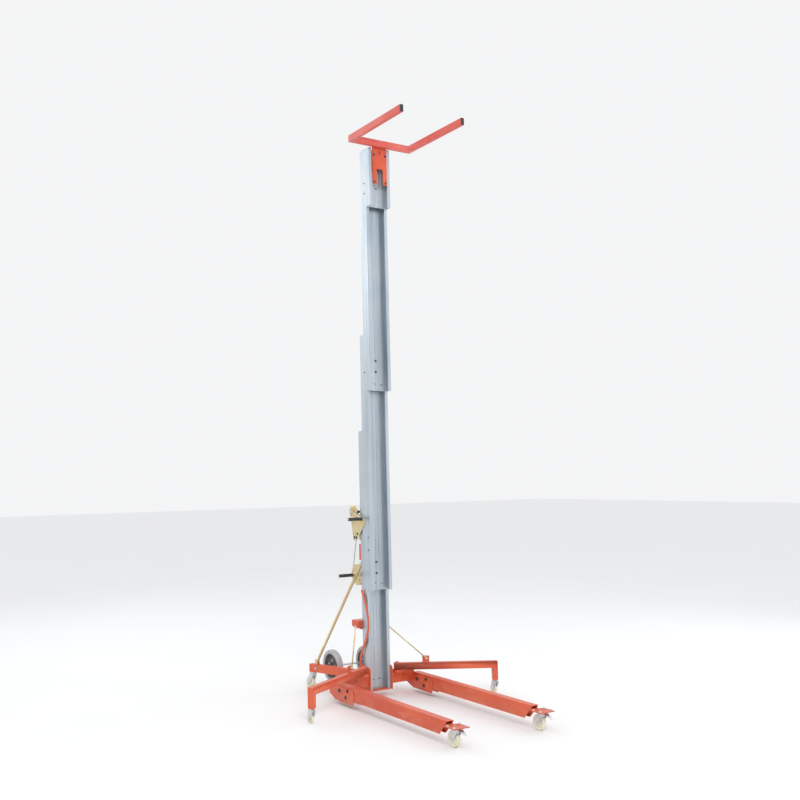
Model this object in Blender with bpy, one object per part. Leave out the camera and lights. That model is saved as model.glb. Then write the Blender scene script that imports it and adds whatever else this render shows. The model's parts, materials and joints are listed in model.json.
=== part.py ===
"""Drywall lift: telescoping aluminium mast with a load fork on a folding steel base.

Frame: +X to the lift's right, -Y to its front (the legs and the fork point that way), +Z up.
The origin lies on the floor, on the centre plane, halfway between the front and rear extremes.
Dimensions along Y are given from the front face of the fixed column, and the whole lift is
moved to the origin at the end. Every piece is one object, in metres, at its real size.
"""

import math

import bmesh
import bpy
from mathutils import Matrix, Vector

# ---------------------------------------------------------------- driving dimensions, in metres
GAP = 0.0003               # air left between pieces that touch
SIDES = {"left": -1.0, "right": 1.0}

# Mast: each column is a wide front channel with a narrower rail behind it
COLUMN_WIDTH = 0.190
COLUMN_LENGTH = 1.930      # the fixed column and the one it carries
TOP_COLUMN_LENGTH = 1.870  # the third column
CARRIAGE_LENGTH = 0.455
COLUMN_STEP = 0.050        # how far each stage stands in front of the one behind it
CHANNEL_DEPTH = COLUMN_STEP - GAP
COLUMN_WALL = 0.004
LIP_WIDTH = 0.025
WEB_THICKNESS = 0.006
RAIL_WIDTH = 0.174
RAIL_DEPTH = 0.037
RAIL_NECK = 0.0055
RAIL_FOOT = 0.024
RIB_HEIGHT = 0.0025
RIB_WIDTH = 0.010
RIB_SPACING = 0.028
COLUMN_FOOT_Z = 0.055
COLUMN_2_RAISED = 0.735    # how far each stage stands above the one behind it
COLUMN_3_RAISED = 1.498
CARRIAGE_Z = 3.700

# Base frame
BEAM_DEPTH = 0.060
BEAM_FRONT_Y = 0.004
BEAM_Z = (0.088, 0.170)
TUBE_WALL = 0.004
SOCKET_THICKNESS = 0.006
SOCKET_Y = (-0.020, 0.128)
SOCKET_Z = (0.052, 0.225)
REAR_ARM_WIDTH = 0.040
REAR_ARM_Z = (0.140, 0.200)
REAR_ARM_ROOT = (COLUMN_WIDTH / 2 + 0.030, 0.0643)
REAR_ARM_END = (0.300, 0.480)

# Legs and the knuckles that they fold in
LEG_X = 0.348
LEG_WIDTH = 0.056
LEG_Z = (0.056, 0.148)
LEG_SHEET = 0.004
LEG_LIP = 0.010
LEG_REAR_Y = 0.022
LEG_FRONT_Y = -1.262
LEG_CUT = 0.085            # length of the slanted cut at a leg's front end
LEG_PIVOT = (-0.035, 0.102)
PIVOT_RADIUS = 0.008
KNUCKLE_SHEET = 0.005
KNUCKLE_CLEARANCE = 0.0006
BEAM_HALF_LENGTH = LEG_X - LEG_WIDTH / 2 - KNUCKLE_CLEARANCE - KNUCKLE_SHEET - GAP

# Casters: wheel radius, wheel width, trail and the height of the seat above the floor
FRONT_CASTER = {"radius": 0.050, "width": 0.030, "trail": 0.030, "seat": 0.122}
REAR_CASTER = {"radius": 0.050, "width": 0.030, "trail": 0.034, "seat": 0.1397}
SMALL_CASTER = {"radius": 0.030, "width": 0.020, "trail": 0.018, "seat": 0.098}
CASTER_PLATE = 0.006
FRONT_CASTER_Y = -1.325
BRAKE_REACH = 0.082        # from a front caster's swivel to the end of its brake pedal
CASTER_PLATE_SIZE = (0.120, 0.100)

# Stabilizer arms
ARM_ROOT = (COLUMN_WIDTH / 2 + 0.055, -0.010)
ARM_CORNER = (0.800, -0.360)
ARM_WIDTH = 0.040
ARM_HEIGHT = 0.050
ARM_TOP_Z = 0.237
ARM_PIN_RADIUS = 0.008
TAB_DISTANCE = 0.218       # from an arm's root to its brace tab
TAB_SIZE = (0.052, 0.006, 0.048)
BRACE_RADIUS = 0.005
BRACE_PIN_RADIUS = 0.0045
BRACE_STANDOFF = 0.018     # from a brace tab's face to the eye of its brace
BRACKET_HALF_WIDTH = COLUMN_WIDTH / 2 + 0.027
BRACKET_Y = (0.0930, 0.1850)
BRACKET_Z = (0.492, 0.556)
BRACE_TOP = (BRACKET_HALF_WIDTH + 0.014, 0.112, 0.515)

# Rear braces and transport wheels
REAR_BRACE_RADIUS = 0.011
REAR_BRACE_TOP = (0.068, 1.000)
REAR_BRACE_FOOT = (0.284, 0.440)
AXLE_Y = 0.420
AXLE_Z = 0.175
AXLE_RADIUS = 0.008
WHEEL_X = 0.155
TYRE_RADIUS = 0.125
TYRE_SECTION = 0.024
HUB_RADIUS = 0.090

# Winch, lower sheave and cable
HEAD_PULLEY_RADIUS = 0.040
HEAD_PULLEY_X = -0.030     # on the fixed column; the next one's is on the other side
DRUM_AXIS = (0.120 + HEAD_PULLEY_RADIUS, 1.295)
CRANK_AXIS = (DRUM_AXIS[0], 1.370)
GEAR_RADIUS = 0.0600
PINION_RADIUS = 0.0147
DRUM_RADIUS = 0.0300
DRUM_HALF_LENGTH = 0.045
FLANGE_RADIUS = 0.052
WINCH_SHEET = 0.004
COVER_RADIUS = 0.053
CRANK_GRIP = (0.020, 1.322)
GRIP_RADIUS = 0.0125
GRIP_LENGTH = 0.118
SHEAVE_RADIUS = 0.080
SHEAVE_GROOVE = SHEAVE_RADIUS - 0.006
SHEAVE_AXIS = (0.110 + SHEAVE_RADIUS, 0.890)
SHEAVE_X = -0.052
HANDLE_BAR_RADIUS = 0.008
CABLE_RADIUS = 0.0025

# Hold-down bar on the left side of the mast
BAR_PIVOT = (0.100, 0.213)
BAR_BOLT_RADIUS = 0.006
BAR_SHEET = 0.005
BAR_CLEARANCE = 0.002
BAR_WIDTH = 0.022

# Load fork
FORK_HALF_WIDTH = 0.283
FORK_TUBE = (0.028, 0.052)
FORK_Z = 4.157
FORK_LENGTH = 0.665
FORK_WALL = 0.003
HANGER_HALF_WIDTH = 0.066
HANGER_SHEET = 0.006
HANGER_FOOT_Z = 3.870
HANGER_NOTCH = (0.027, 3.990)

# ---------------------------------------------------------------- finishes
FINISHES = {
    "orange_paint": ((0.62, 0.085, 0.025, 1.0), 0.38, 0.0),
    "fork_paint": ((0.66, 0.10, 0.06, 1.0), 0.40, 0.0),
    "aluminium": ((0.55, 0.60, 0.64, 1.0), 0.34, 1.0),
    "yellow_zinc": ((0.68, 0.52, 0.24, 1.0), 0.32, 1.0),
    "bright_zinc": ((0.60, 0.62, 0.62, 1.0), 0.30, 1.0),
    "nylon": ((0.66, 0.62, 0.42, 1.0), 0.45, 0.0),
    "grey_rubber": ((0.42, 0.43, 0.45, 1.0), 0.80, 0.0),
    "black_plastic": ((0.02, 0.02, 0.022, 1.0), 0.50, 0.0),
    "dark_steel": ((0.10, 0.10, 0.11, 1.0), 0.40, 1.0),
    "wire_rope": ((0.45, 0.45, 0.44, 1.0), 0.45, 1.0),
}


# ---------------------------------------------------------------- modelling helpers
def clear_scene():
    """Removes every object that the file starts with."""
    for thing in list(bpy.data.objects):
        bpy.data.objects.remove(thing, do_unlink=True)


def finish(name, kind):
    """A material of its own for one piece, in one of the finishes."""
    colour, roughness, metallic = FINISHES[kind]
    made = bpy.data.materials.new(name + "_finish")
    made.use_nodes = True
    shader = made.node_tree.nodes["Principled BSDF"]
    shader.inputs["Base Color"].default_value = colour
    shader.inputs["Roughness"].default_value = roughness
    shader.inputs["Metallic"].default_value = metallic
    made.diffuse_color = colour
    return made


def shape_from(bm):
    """A loose object holding a bmesh, with its faces turned outwards."""
    bmesh.ops.recalc_face_normals(bm, faces=bm.faces)
    mesh = bpy.data.meshes.new("shape")
    bm.to_mesh(mesh)
    bm.free()
    thing = bpy.data.objects.new("shape", mesh)
    bpy.context.collection.objects.link(thing)
    return thing


def box(low, high):
    """A block between two corners."""
    low, high = Vector(low), Vector(high)
    bm = bmesh.new()
    bmesh.ops.create_cube(bm, size=1.0)
    bmesh.ops.scale(bm, vec=high - low, verts=bm.verts)
    bmesh.ops.translate(bm, vec=(low + high) / 2, verts=bm.verts)
    return shape_from(bm)


def mirrored_box(side, low, high):
    """A block given for the right-hand side, placed on the named side."""
    inner, outer = sorted((side * low[0], side * high[0]))
    return box((inner, low[1], low[2]), (outer, high[1], high[2]))


def beam(start, end, width, z_low, z_high, tail=0.0, nose=0.0):
    """A level bar between two plan points, lengthened at either end."""
    start, end = Vector(start), Vector(end)
    run = end - start
    length = run.length + tail + nose
    bm = bmesh.new()
    bmesh.ops.create_cube(bm, size=1.0)
    bmesh.ops.scale(bm, vec=(length, width, z_high - z_low), verts=bm.verts)
    bmesh.ops.translate(bm, vec=(length / 2 - tail, 0, (z_low + z_high) / 2), verts=bm.verts)
    turn = Matrix.Rotation(math.atan2(run.y, run.x), 4, "Z")
    bmesh.ops.transform(bm, matrix=Matrix.Translation((start.x, start.y, 0)) @ turn, verts=bm.verts)
    return shape_from(bm)


def prism(outline, axis, start, end):
    """An outline, in the plane across an axis, extruded along that axis."""
    def point(u, v, w):
        return {"x": (w, u, v), "y": (u, w, v), "z": (u, v, w)}[axis]

    bm = bmesh.new()
    face = bm.faces.new([bm.verts.new(point(u, v, start)) for u, v in outline])
    moved = bmesh.ops.extrude_face_region(bm, geom=[face])["geom"]
    step = Vector(point(0, 0, end - start))
    bmesh.ops.translate(bm, vec=step, verts=[g for g in moved if isinstance(g, bmesh.types.BMVert)])
    bmesh.ops.triangulate(bm, faces=[f for f in bm.faces if len(f.verts) > 4])
    return shape_from(bm)


def rod(start, end, radius, sides=16):
    """A round bar between two points."""
    start, end = Vector(start), Vector(end)
    bm = bmesh.new()
    bmesh.ops.create_cone(bm, cap_ends=True, segments=sides, radius1=radius, radius2=radius,
                          depth=(end - start).length)
    turn = (end - start).to_track_quat("Z", "Y").to_matrix().to_4x4()
    bmesh.ops.transform(bm, matrix=Matrix.Translation((start + end) / 2) @ turn, verts=bm.verts)
    return shape_from(bm)


def turned(profile, centre, sides=28):
    """A closed ring profile of (distance from the centre along X, radius), spun about the X axis."""
    bm = bmesh.new()
    ring = [bm.verts.new((x, 0, r)) for x, r in profile]
    edges = [bm.edges.new((a, b)) for a, b in zip(ring, ring[1:] + ring[:1])]
    bmesh.ops.spin(bm, geom=ring + edges, cent=(0, 0, 0), axis=(1, 0, 0), angle=2 * math.pi,
                   steps=sides, use_merge=True)
    bmesh.ops.remove_doubles(bm, verts=bm.verts, dist=1e-6)
    bmesh.ops.translate(bm, vec=centre, verts=bm.verts)
    return shape_from(bm)


def applied(thing):
    """The object's mesh with its modifiers applied."""
    graph = bpy.context.evaluated_depsgraph_get()
    return bpy.data.meshes.new_from_object(thing.evaluated_get(graph))


def fused(adds, cuts=()):
    """One shape: the first object joined with the others, then cut by the cutters."""
    body = adds[0]
    for operation, tools in (("UNION", adds[1:]), ("DIFFERENCE", cuts)):
        for tool in tools:
            change = body.modifiers.new("join", "BOOLEAN")
            change.operation = operation
            change.solver = "EXACT"
            change.object = tool
    mesh = applied(body)
    for thing in (*adds, *cuts):
        bpy.data.objects.remove(thing, do_unlink=True)
    whole = bpy.data.objects.new("shape", mesh)
    bpy.context.collection.objects.link(whole)
    return whole


def piece(name, kind, thing, origin=(0, 0, 0), smooth=False):
    """Names a finished shape, gives it its finish, and puts its origin at a joint or at the datum."""
    origin = Vector(origin)
    thing.name = name
    thing.data.name = name
    thing.data.transform(Matrix.Translation(-origin))
    thing.location = origin
    thing.data.materials.clear()
    thing.data.materials.append(finish(name, kind))
    if smooth:
        thing.data.shade_smooth()
        thing.data.set_sharp_from_angle(angle=math.radians(35))
    return thing


def mirrored(side, points):
    """Plan or section points given for the right-hand side, turned to the named side."""
    return [(side * x, y) for x, y in points]


# ---------------------------------------------------------------- mast
def column_outline(front_y):
    """Section of a mast column: front channel with lips, ribbed web, and the rail behind it."""
    half = COLUMN_WIDTH / 2
    opening = half - LIP_WIDTH
    web_front = CHANNEL_DEPTH - WEB_THICKNESS
    rail_half = RAIL_WIDTH / 2
    rail_front = CHANNEL_DEPTH + RAIL_NECK
    rail_back = rail_front + RAIL_DEPTH
    foot = rail_half - RAIL_FOOT
    ribs = []
    for centre in (RIB_SPACING / 2, RIB_SPACING * 1.5):
        low, high = centre - RIB_WIDTH / 2, centre + RIB_WIDTH / 2
        ribs += [(low, web_front), (low, web_front - RIB_HEIGHT), (high, web_front - RIB_HEIGHT),
                 (high, web_front)]
    right = ribs + [
        (half - COLUMN_WALL, web_front),
        (half - COLUMN_WALL, COLUMN_WALL),
        (opening, COLUMN_WALL),
        (opening, 0.0),
        (half, 0.0),
        (half, CHANNEL_DEPTH),
        (foot + COLUMN_WALL + 0.002, CHANNEL_DEPTH),
        (foot + COLUMN_WALL + 0.002, rail_front),
        (rail_half, rail_front),
        (rail_half, rail_back),
        (foot, rail_back),
        (foot, rail_back - COLUMN_WALL),
        (rail_half - COLUMN_WALL, rail_back - COLUMN_WALL),
        (rail_half - COLUMN_WALL, rail_front + COLUMN_WALL),
        (foot + 0.002, rail_front + COLUMN_WALL),
        (foot + 0.002, CHANNEL_DEPTH),
    ]
    left = [(-x, y) for x, y in reversed(right)]
    return [(x, y + front_y) for x, y in right + left]


def column_placing():
    """For each stage: its front face, its foot and its top."""
    foot_2 = COLUMN_FOOT_Z + COLUMN_2_RAISED
    foot_3 = foot_2 + COLUMN_3_RAISED
    return {
        "column_1": (0.0, COLUMN_FOOT_Z, COLUMN_FOOT_Z + COLUMN_LENGTH),
        "column_2": (-COLUMN_STEP, foot_2, foot_2 + COLUMN_LENGTH),
        "column_3": (-2 * COLUMN_STEP, foot_3, foot_3 + TOP_COLUMN_LENGTH),
        "carriage": (-3 * COLUMN_STEP, CARRIAGE_Z, CARRIAGE_Z + CARRIAGE_LENGTH),
    }


def build_mast():
    """The fixed column, the two sliding ones and the carriage."""
    for name, (front_y, foot, top) in column_placing().items():
        piece(name, "aluminium", prism(column_outline(front_y), "z", foot, top), (0, front_y, foot))


def build_head_pulleys():
    """A sheave in a bracket on top of each of the two lower columns, on opposite sides of the middle."""
    rail_back = CHANNEL_DEPTH + RAIL_NECK + RAIL_DEPTH
    for number, name, x in ((1, "column_1", HEAD_PULLEY_X), (2, "column_2", -HEAD_PULLEY_X)):
        front_y, _, top = column_placing()[name]
        axle_y = front_y + (CHANNEL_DEPTH - WEB_THICKNESS + rail_back) / 2
        axle_z = top + HEAD_PULLEY_RADIUS + 0.008
        reach = RAIL_WIDTH / 2 - 0.002
        plate = box((-reach, front_y + CHANNEL_DEPTH, top + GAP), (reach, front_y + rail_back, top + 0.005))
        notch = box((HEAD_PULLEY_X - 0.010, front_y + rail_back - 0.022, top - 0.01),
                    (HEAD_PULLEY_X + 0.010, front_y + rail_back + 0.01, top + 0.01))
        cheeks = [box((x + flank * 0.0155 - 0.002, axle_y - 0.012, top + 0.002),
                      (x + flank * 0.0155 + 0.002, axle_y + 0.012, axle_z + 0.014)) for flank in (-1.0, 1.0)]
        axle = rod((x - 0.022, axle_y, axle_z), (x + 0.022, axle_y, axle_z), 0.006)
        plate = fused([plate], [notch])
        piece(f"pulley_bracket_{number}", "bright_zinc", fused([plate, *cheeks, axle]))
        groove = HEAD_PULLEY_RADIUS - 0.006
        bore = 0.006 + GAP
        profile = [(-0.012, bore), (-0.012, HEAD_PULLEY_RADIUS), (-0.008, HEAD_PULLEY_RADIUS),
                   (-0.004, groove), (0.004, groove), (0.008, HEAD_PULLEY_RADIUS),
                   (0.012, HEAD_PULLEY_RADIUS), (0.012, bore)]
        centre = (x, axle_y, axle_z)
        piece(f"head_pulley_{number}", "nylon", turned(profile, centre), centre, smooth=True)


# ---------------------------------------------------------------- base frame
def socket_plate():
    """Section of a socket side plate, raised at the back where the hold-down bar is bolted."""
    front, back = SOCKET_Y
    low, high = SOCKET_Z
    pivot_y, pivot_z = BAR_PIVOT
    return [(front, low), (back, low), (back, high), (back - 0.010, pivot_z + 0.022),
            (pivot_y - 0.022, pivot_z + 0.022), (pivot_y - 0.032, high), (front + 0.012, high),
            (front, high - 0.012)]


def build_base_frame():
    """The welded frame: mast socket, box-section beam each side, stabilizer pins and bar bolt."""
    inner = COLUMN_WIDTH / 2 + GAP
    outer = inner + SOCKET_THICKNESS
    low = SOCKET_Z[0]
    back = BEAM_FRONT_Y + BEAM_DEPTH
    arm_foot = ARM_TOP_Z - ARM_HEIGHT
    adds, cuts = [], []
    for side in SIDES.values():
        start, end = sorted((side * inner, side * outer))
        adds.append(prism(socket_plate(), "x", start, end))
        adds.append(mirrored_box(side, (outer - 0.004, BEAM_FRONT_Y, BEAM_Z[0]),
                                 (BEAM_HALF_LENGTH, back, BEAM_Z[1])))
        cuts.append(mirrored_box(side, (outer, BEAM_FRONT_Y + TUBE_WALL, BEAM_Z[0] + TUBE_WALL),
                                 (BEAM_HALF_LENGTH + 0.01, back - TUBE_WALL, BEAM_Z[1] - TUBE_WALL)))
        root_x, root_y = side * ARM_ROOT[0], ARM_ROOT[1]
        adds.append(box((root_x - 0.026, root_y - 0.026, BEAM_Z[1] - 0.002),
                        (root_x + 0.026, BEAM_FRONT_Y + 0.030, arm_foot - GAP)))
        adds.append(rod((root_x, root_y, BEAM_Z[1]), (root_x, root_y, ARM_TOP_Z + 0.005), ARM_PIN_RADIUS))
        adds.append(rod((root_x, root_y, ARM_TOP_Z + GAP), (root_x, root_y, ARM_TOP_Z + 0.009), 0.015, 6))
    rail_back = CHANNEL_DEPTH + RAIL_NECK + RAIL_DEPTH
    adds.append(box((-inner - 0.001, rail_back + GAP, low), (inner + 0.001, SOCKET_Y[1], BEAM_Z[1])))
    cuts.append(box((-inner + 0.020, rail_back + GAP + 0.005, COLUMN_FOOT_Z),
                    (inner - 0.020, SOCKET_Y[1] - 0.005, BEAM_Z[1] + 0.01)))
    adds.append(box((-inner - 0.001, 0.004, low - 0.006), (inner + 0.001, SOCKET_Y[1], COLUMN_FOOT_Z - GAP)))
    pivot_y, pivot_z = BAR_PIVOT
    bar_face = -outer - BAR_CLEARANCE - BAR_SHEET
    adds.append(rod((-inner - 0.002, pivot_y, pivot_z), (bar_face - 0.003, pivot_y, pivot_z), BAR_BOLT_RADIUS))
    adds.append(rod((bar_face - GAP, pivot_y, pivot_z), (bar_face - 0.006, pivot_y, pivot_z), 0.011, 6))
    piece("base_frame", "orange_paint", fused([fused(adds)], cuts))


def build_rear_arms():
    """Two splayed tubes from the beam to the rear casters."""
    low, high = REAR_ARM_Z
    for name, side in SIDES.items():
        (root_x, root_y), (end_x, end_y) = mirrored(side, (REAR_ARM_ROOT, REAR_ARM_END))
        root, end = (root_x, root_y), (end_x, end_y)
        outer = beam(root, end, REAR_ARM_WIDTH, low, high, tail=0.03, nose=0.022)
        hollow = beam(root, end, REAR_ARM_WIDTH - 2 * TUBE_WALL, low + TUBE_WALL, high - TUBE_WALL,
                      tail=0.05, nose=0.018)
        behind_beam = box((-0.6, -0.2, 0.0), (0.6, BEAM_FRONT_Y + BEAM_DEPTH + GAP, 0.4))
        axle_hole = rod((side * 0.05, AXLE_Y, AXLE_Z), (side * 0.40, AXLE_Y, AXLE_Z), AXLE_RADIUS + GAP)
        tube = fused([outer], [hollow, behind_beam, axle_hole])
        piece(f"rear_arm_{name}", "orange_paint", tube)


def knuckle_outline():
    """Side plate of a knuckle: bulged front edge, a low toe, and a rising heel."""
    front, toe_z, top = -0.225, 0.026, LEG_Z[1] - LEG_SHEET - 0.010
    arc = []
    for step in range(7):
        angle = math.radians(-38 + step * 76 / 6)
        arc.append((front + 0.045 - 0.075 * math.cos(angle) + 0.030, 0.084 + 0.088 * math.sin(angle)))
    heel = [(0.055, top), (0.100, 0.120), (0.100, 0.062), (0.020, 0.030)]
    return [(front + 0.012, toe_z)] + arc + [(front + 0.030, top)] + heel


def build_knuckles():
    """A pair of side plates round each leg, tied behind it, with the leg's pivot bolt and stop."""
    inner = LEG_WIDTH / 2 + KNUCKLE_CLEARANCE
    outer = inner + KNUCKLE_SHEET
    pivot_y, pivot_z = LEG_PIVOT
    for name, side in SIDES.items():
        centre = side * LEG_X
        plates = []
        for flank in (-1.0, 1.0):
            start, end = sorted((centre + flank * inner, centre + flank * outer))
            plates.append(prism(knuckle_outline(), "x", start, end))
        heel = box((centre - outer + 0.001, 0.075, 0.066), (centre + outer - 0.001, 0.092, 0.118))
        stop = rod((centre - outer - 0.006, -0.120, 0.046), (centre + outer + 0.006, -0.120, 0.046), 0.008)
        bore = rod((centre - 0.06, pivot_y, pivot_z), (centre + 0.06, pivot_y, pivot_z), PIVOT_RADIUS + GAP)
        piece(f"knuckle_{name}", "orange_paint", fused([plates[0], plates[1], heel, stop], [bore]))
        shank = rod((centre - outer - 0.002, pivot_y, pivot_z), (centre + outer + 0.002, pivot_y, pivot_z),
                    PIVOT_RADIUS)
        heads = [rod((centre + flank * (outer + GAP), pivot_y, pivot_z),
                     (centre + flank * (outer + 0.007), pivot_y, pivot_z), 0.014, 6) for flank in (-1.0, 1.0)]
        # the beam ends just inside the inner plate, so that side keeps a thin head
        bolt = fused([shank, *heads])
        piece(f"leg_pivot_bolt_{name}", "dark_steel", bolt, (centre, pivot_y, pivot_z))


def build_legs():
    """Channel legs, open below, slant-cut at the front, with a flat plate for the caster."""
    low, high = LEG_Z
    half = LEG_WIDTH / 2
    sheet = LEG_SHEET
    pivot_y, pivot_z = LEG_PIVOT
    for name, side in SIDES.items():
        centre = side * LEG_X
        section = [(-half, low), (-half + LEG_LIP, low), (-half + LEG_LIP, low + sheet),
                   (-half + sheet, low + sheet), (-half + sheet, high - sheet), (half - sheet, high - sheet),
                   (half - sheet, low + sheet), (half - LEG_LIP, low + sheet), (half - LEG_LIP, low),
                   (half, low), (half, high), (-half, high)]
        channel = prism([(centre + x, z) for x, z in section], "y", LEG_REAR_Y, LEG_FRONT_Y)
        slant = prism([(LEG_FRONT_Y + LEG_CUT, low - 0.01), (LEG_FRONT_Y - 0.01, low - 0.01),
                       (LEG_FRONT_Y - 0.01, high - sheet), (LEG_FRONT_Y, high - sheet)],
                      "x", centre - half - 0.01, centre + half + 0.01)
        bore = rod((centre - 0.05, pivot_y, pivot_z), (centre + 0.05, pivot_y, pivot_z), PIVOT_RADIUS + GAP)
        seat = FRONT_CASTER["seat"]
        plate_x, plate_y = CASTER_PLATE_SIZE
        plate = box((centre - plate_x / 2, FRONT_CASTER_Y - plate_y / 2, seat + GAP),
                    (centre + plate_x / 2, FRONT_CASTER_Y + plate_y / 2, seat + GAP + CASTER_PLATE))
        tongue = box((centre - half + sheet / 2, FRONT_CASTER_Y, seat + GAP),
                     (centre + half - sheet / 2, LEG_FRONT_Y + LEG_CUT + 0.05, seat + GAP + CASTER_PLATE))
        channel = fused([channel], [slant, bore])
        leg = fused([channel, tongue, plate])
        piece(f"leg_{name}", "orange_paint", leg, (centre, pivot_y, pivot_z))


# ---------------------------------------------------------------- casters
def build_caster(prefix, suffix, x, y, sizes, brake):
    """A swivel caster: zinc yoke with its axle, nylon wheel, and a brake pedal where it has one."""
    radius, width, trail, seat = (sizes[key] for key in ("radius", "width", "trail", "seat"))
    axle_y, axle_z = y + trail, radius
    inner = width / 2 + 0.0015
    outer = inner + 0.003
    crown = seat - 0.012
    nose = 0.041 if brake else 0.0225
    hinge_y, hinge_z = y - BRAKE_REACH + 0.048, crown - 0.006
    cheeks = []
    for flank in (-1.0, 1.0):
        start, end = sorted((x + flank * inner, x + flank * outer))
        outline = [(y - nose, crown + 0.003), (y - nose, crown - 0.012), (y - 0.022, crown - 0.013),
                   (axle_y - 0.012, axle_z - 0.008),
                   (axle_y, axle_z - 0.013), (axle_y + 0.012, axle_z - 0.008), (axle_y + 0.013, axle_z + 0.010),
                   (y + 0.024, crown + 0.003)]
        cheeks.append(prism(outline, "x", start, end))
    top = box((x - inner - 0.001, y - 0.021, crown), (x + inner + 0.001, y + 0.0235, crown + 0.004))
    bearing = rod((x, y, crown + 0.002), (x, y, seat - 0.0003), min(0.024, outer + 0.004), 20)
    axle = rod((x - outer - 0.004, axle_y, axle_z), (x + outer + 0.004, axle_y, axle_z), 0.006, 18)
    parts = [top, *cheeks, bearing, axle]
    if brake:
        grip = inner + 0.0015
        parts.append(rod((x - grip, hinge_y, hinge_z), (x + grip, hinge_y, hinge_z), 0.003, 12))
    yoke = fused(parts)
    piece(f"{prefix}_yoke_{suffix}", "bright_zinc", yoke, (x, y, seat))
    half, bore = width / 2, 0.006 + GAP
    profile = [(-half, bore), (-half, radius * 0.42), (-half * 0.72, radius * 0.50),
               (-half * 0.72, radius * 0.74), (-half, radius * 0.84), (-half * 0.80, radius * 0.97),
               (-half * 0.35, radius), (half * 0.35, radius), (half * 0.80, radius * 0.97),
               (half, radius * 0.84), (half * 0.72, radius * 0.74), (half * 0.72, radius * 0.50),
               (half, radius * 0.42), (half, bore)]
    centre = (x, axle_y, axle_z)
    piece(f"{prefix}_wheel_{suffix}", "nylon", turned(profile, centre), centre, smooth=True)
    if brake:
        tread = prism([(hinge_y + 0.007, hinge_z - 0.006), (hinge_y + 0.007, hinge_z + 0.006),
                       (hinge_y - 0.006, hinge_z + 0.006), (hinge_y - 0.024, hinge_z + 0.003),
                       (hinge_y - 0.046, hinge_z - 0.010), (hinge_y - 0.048, hinge_z - 0.014),
                       (hinge_y - 0.024, hinge_z - 0.003), (hinge_y - 0.006, hinge_z - 0.006)],
                      "x", x - half * 0.8, x + half * 0.8)
        bore = rod((x - outer, hinge_y, hinge_z), (x + outer, hinge_y, hinge_z), 0.003 + GAP, 12)
        piece(f"{prefix}_brake_{suffix}", "bright_zinc", fused([tread], [bore]), (x, hinge_y, hinge_z))


def build_casters():
    """The front, rear and stabilizer casters on both sides."""
    for name, side in SIDES.items():
        build_caster("front_caster", name, side * LEG_X, FRONT_CASTER_Y, FRONT_CASTER, True)
        build_caster("rear_caster", name, side * REAR_ARM_END[0], REAR_ARM_END[1], REAR_CASTER, False)
        build_caster("stabilizer_caster", name, side * ARM_CORNER[0], ARM_CORNER[1], SMALL_CASTER, False)


# ---------------------------------------------------------------- stabilizers and braces
def build_stabilizers():
    """Cranked tube arms that swing on a pin: a level run, a drop leg and a brace tab."""
    low = ARM_TOP_Z - ARM_HEIGHT
    foot = SMALL_CASTER["seat"] + GAP
    wall = TUBE_WALL
    for name, side in SIDES.items():
        root, corner = (Vector(p) for p in mirrored(side, (ARM_ROOT, ARM_CORNER)))
        along = (corner - root).normalized()
        half = ARM_WIDTH / 2
        run = beam(root, corner, ARM_WIDTH, low, ARM_TOP_Z, tail=0.024, nose=half)
        run_hollow = beam(root + along * 0.028, corner, ARM_WIDTH - 2 * wall, low + wall, ARM_TOP_Z - wall,
                          nose=half - wall)
        drop = beam(corner, corner + along * 0.0001, ARM_WIDTH, foot, ARM_TOP_Z, tail=half, nose=half)
        drop_hollow = beam(corner, corner + along * 0.0001, ARM_WIDTH - 2 * wall, foot + wall,
                           ARM_TOP_Z - wall, tail=half - wall, nose=half - wall)
        vent = rod((*(root + along * 0.060), low - 0.01), (*(root + along * 0.060), low + 0.01), 0.006, 10)
        bore = rod((root.x, root.y, low - 0.01), (root.x, root.y, ARM_TOP_Z + 0.01), ARM_PIN_RADIUS + GAP)
        middle = root + along * TAB_DISTANCE
        tab_start = middle - along * TAB_SIZE[0] / 2
        tab_end = middle + along * TAB_SIZE[0] / 2
        tab = beam(tab_start, tab_end, TAB_SIZE[1], ARM_TOP_Z - 0.002, ARM_TOP_Z + TAB_SIZE[2])
        across = Vector((-along.y, along.x))
        hole_z = ARM_TOP_Z + TAB_SIZE[2] - 0.014
        hole = rod((*(middle - across * 0.02), hole_z), (*(middle + across * 0.02), hole_z), 0.006, 12)
        solid = fused([run, drop, tab])
        solid = fused([solid], [fused([run_hollow, drop_hollow]), vent, bore, hole])
        piece(f"stabilizer_arm_{name}", "orange_paint", solid, (root.x, root.y, low))


def tab_point(side):
    """The hole in a stabilizer's brace tab, and the arm's direction in plan."""
    root, corner = (Vector(p) for p in mirrored(side, (ARM_ROOT, ARM_CORNER)))
    along = (corner - root).normalized()
    middle = root + along * TAB_DISTANCE
    return Vector((middle.x, middle.y, ARM_TOP_Z + TAB_SIZE[2] - 0.014)), along


def brace_ends(side):
    """A stabilizer brace's two eyes, the axis of its top pin, and its foot's axis across the tab."""
    top = Vector((side * BRACE_TOP[0], BRACE_TOP[1], BRACE_TOP[2]))
    hole, along = tab_point(side)
    across = Vector((side * abs(along.y), abs(along.x), 0))
    foot = hole - across * (TAB_SIZE[1] / 2 + BRACE_STANDOFF)
    run = foot - top
    hinge = Vector((-run.y, run.x, 0)).normalized() * side
    return top, foot, hinge, across


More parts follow.
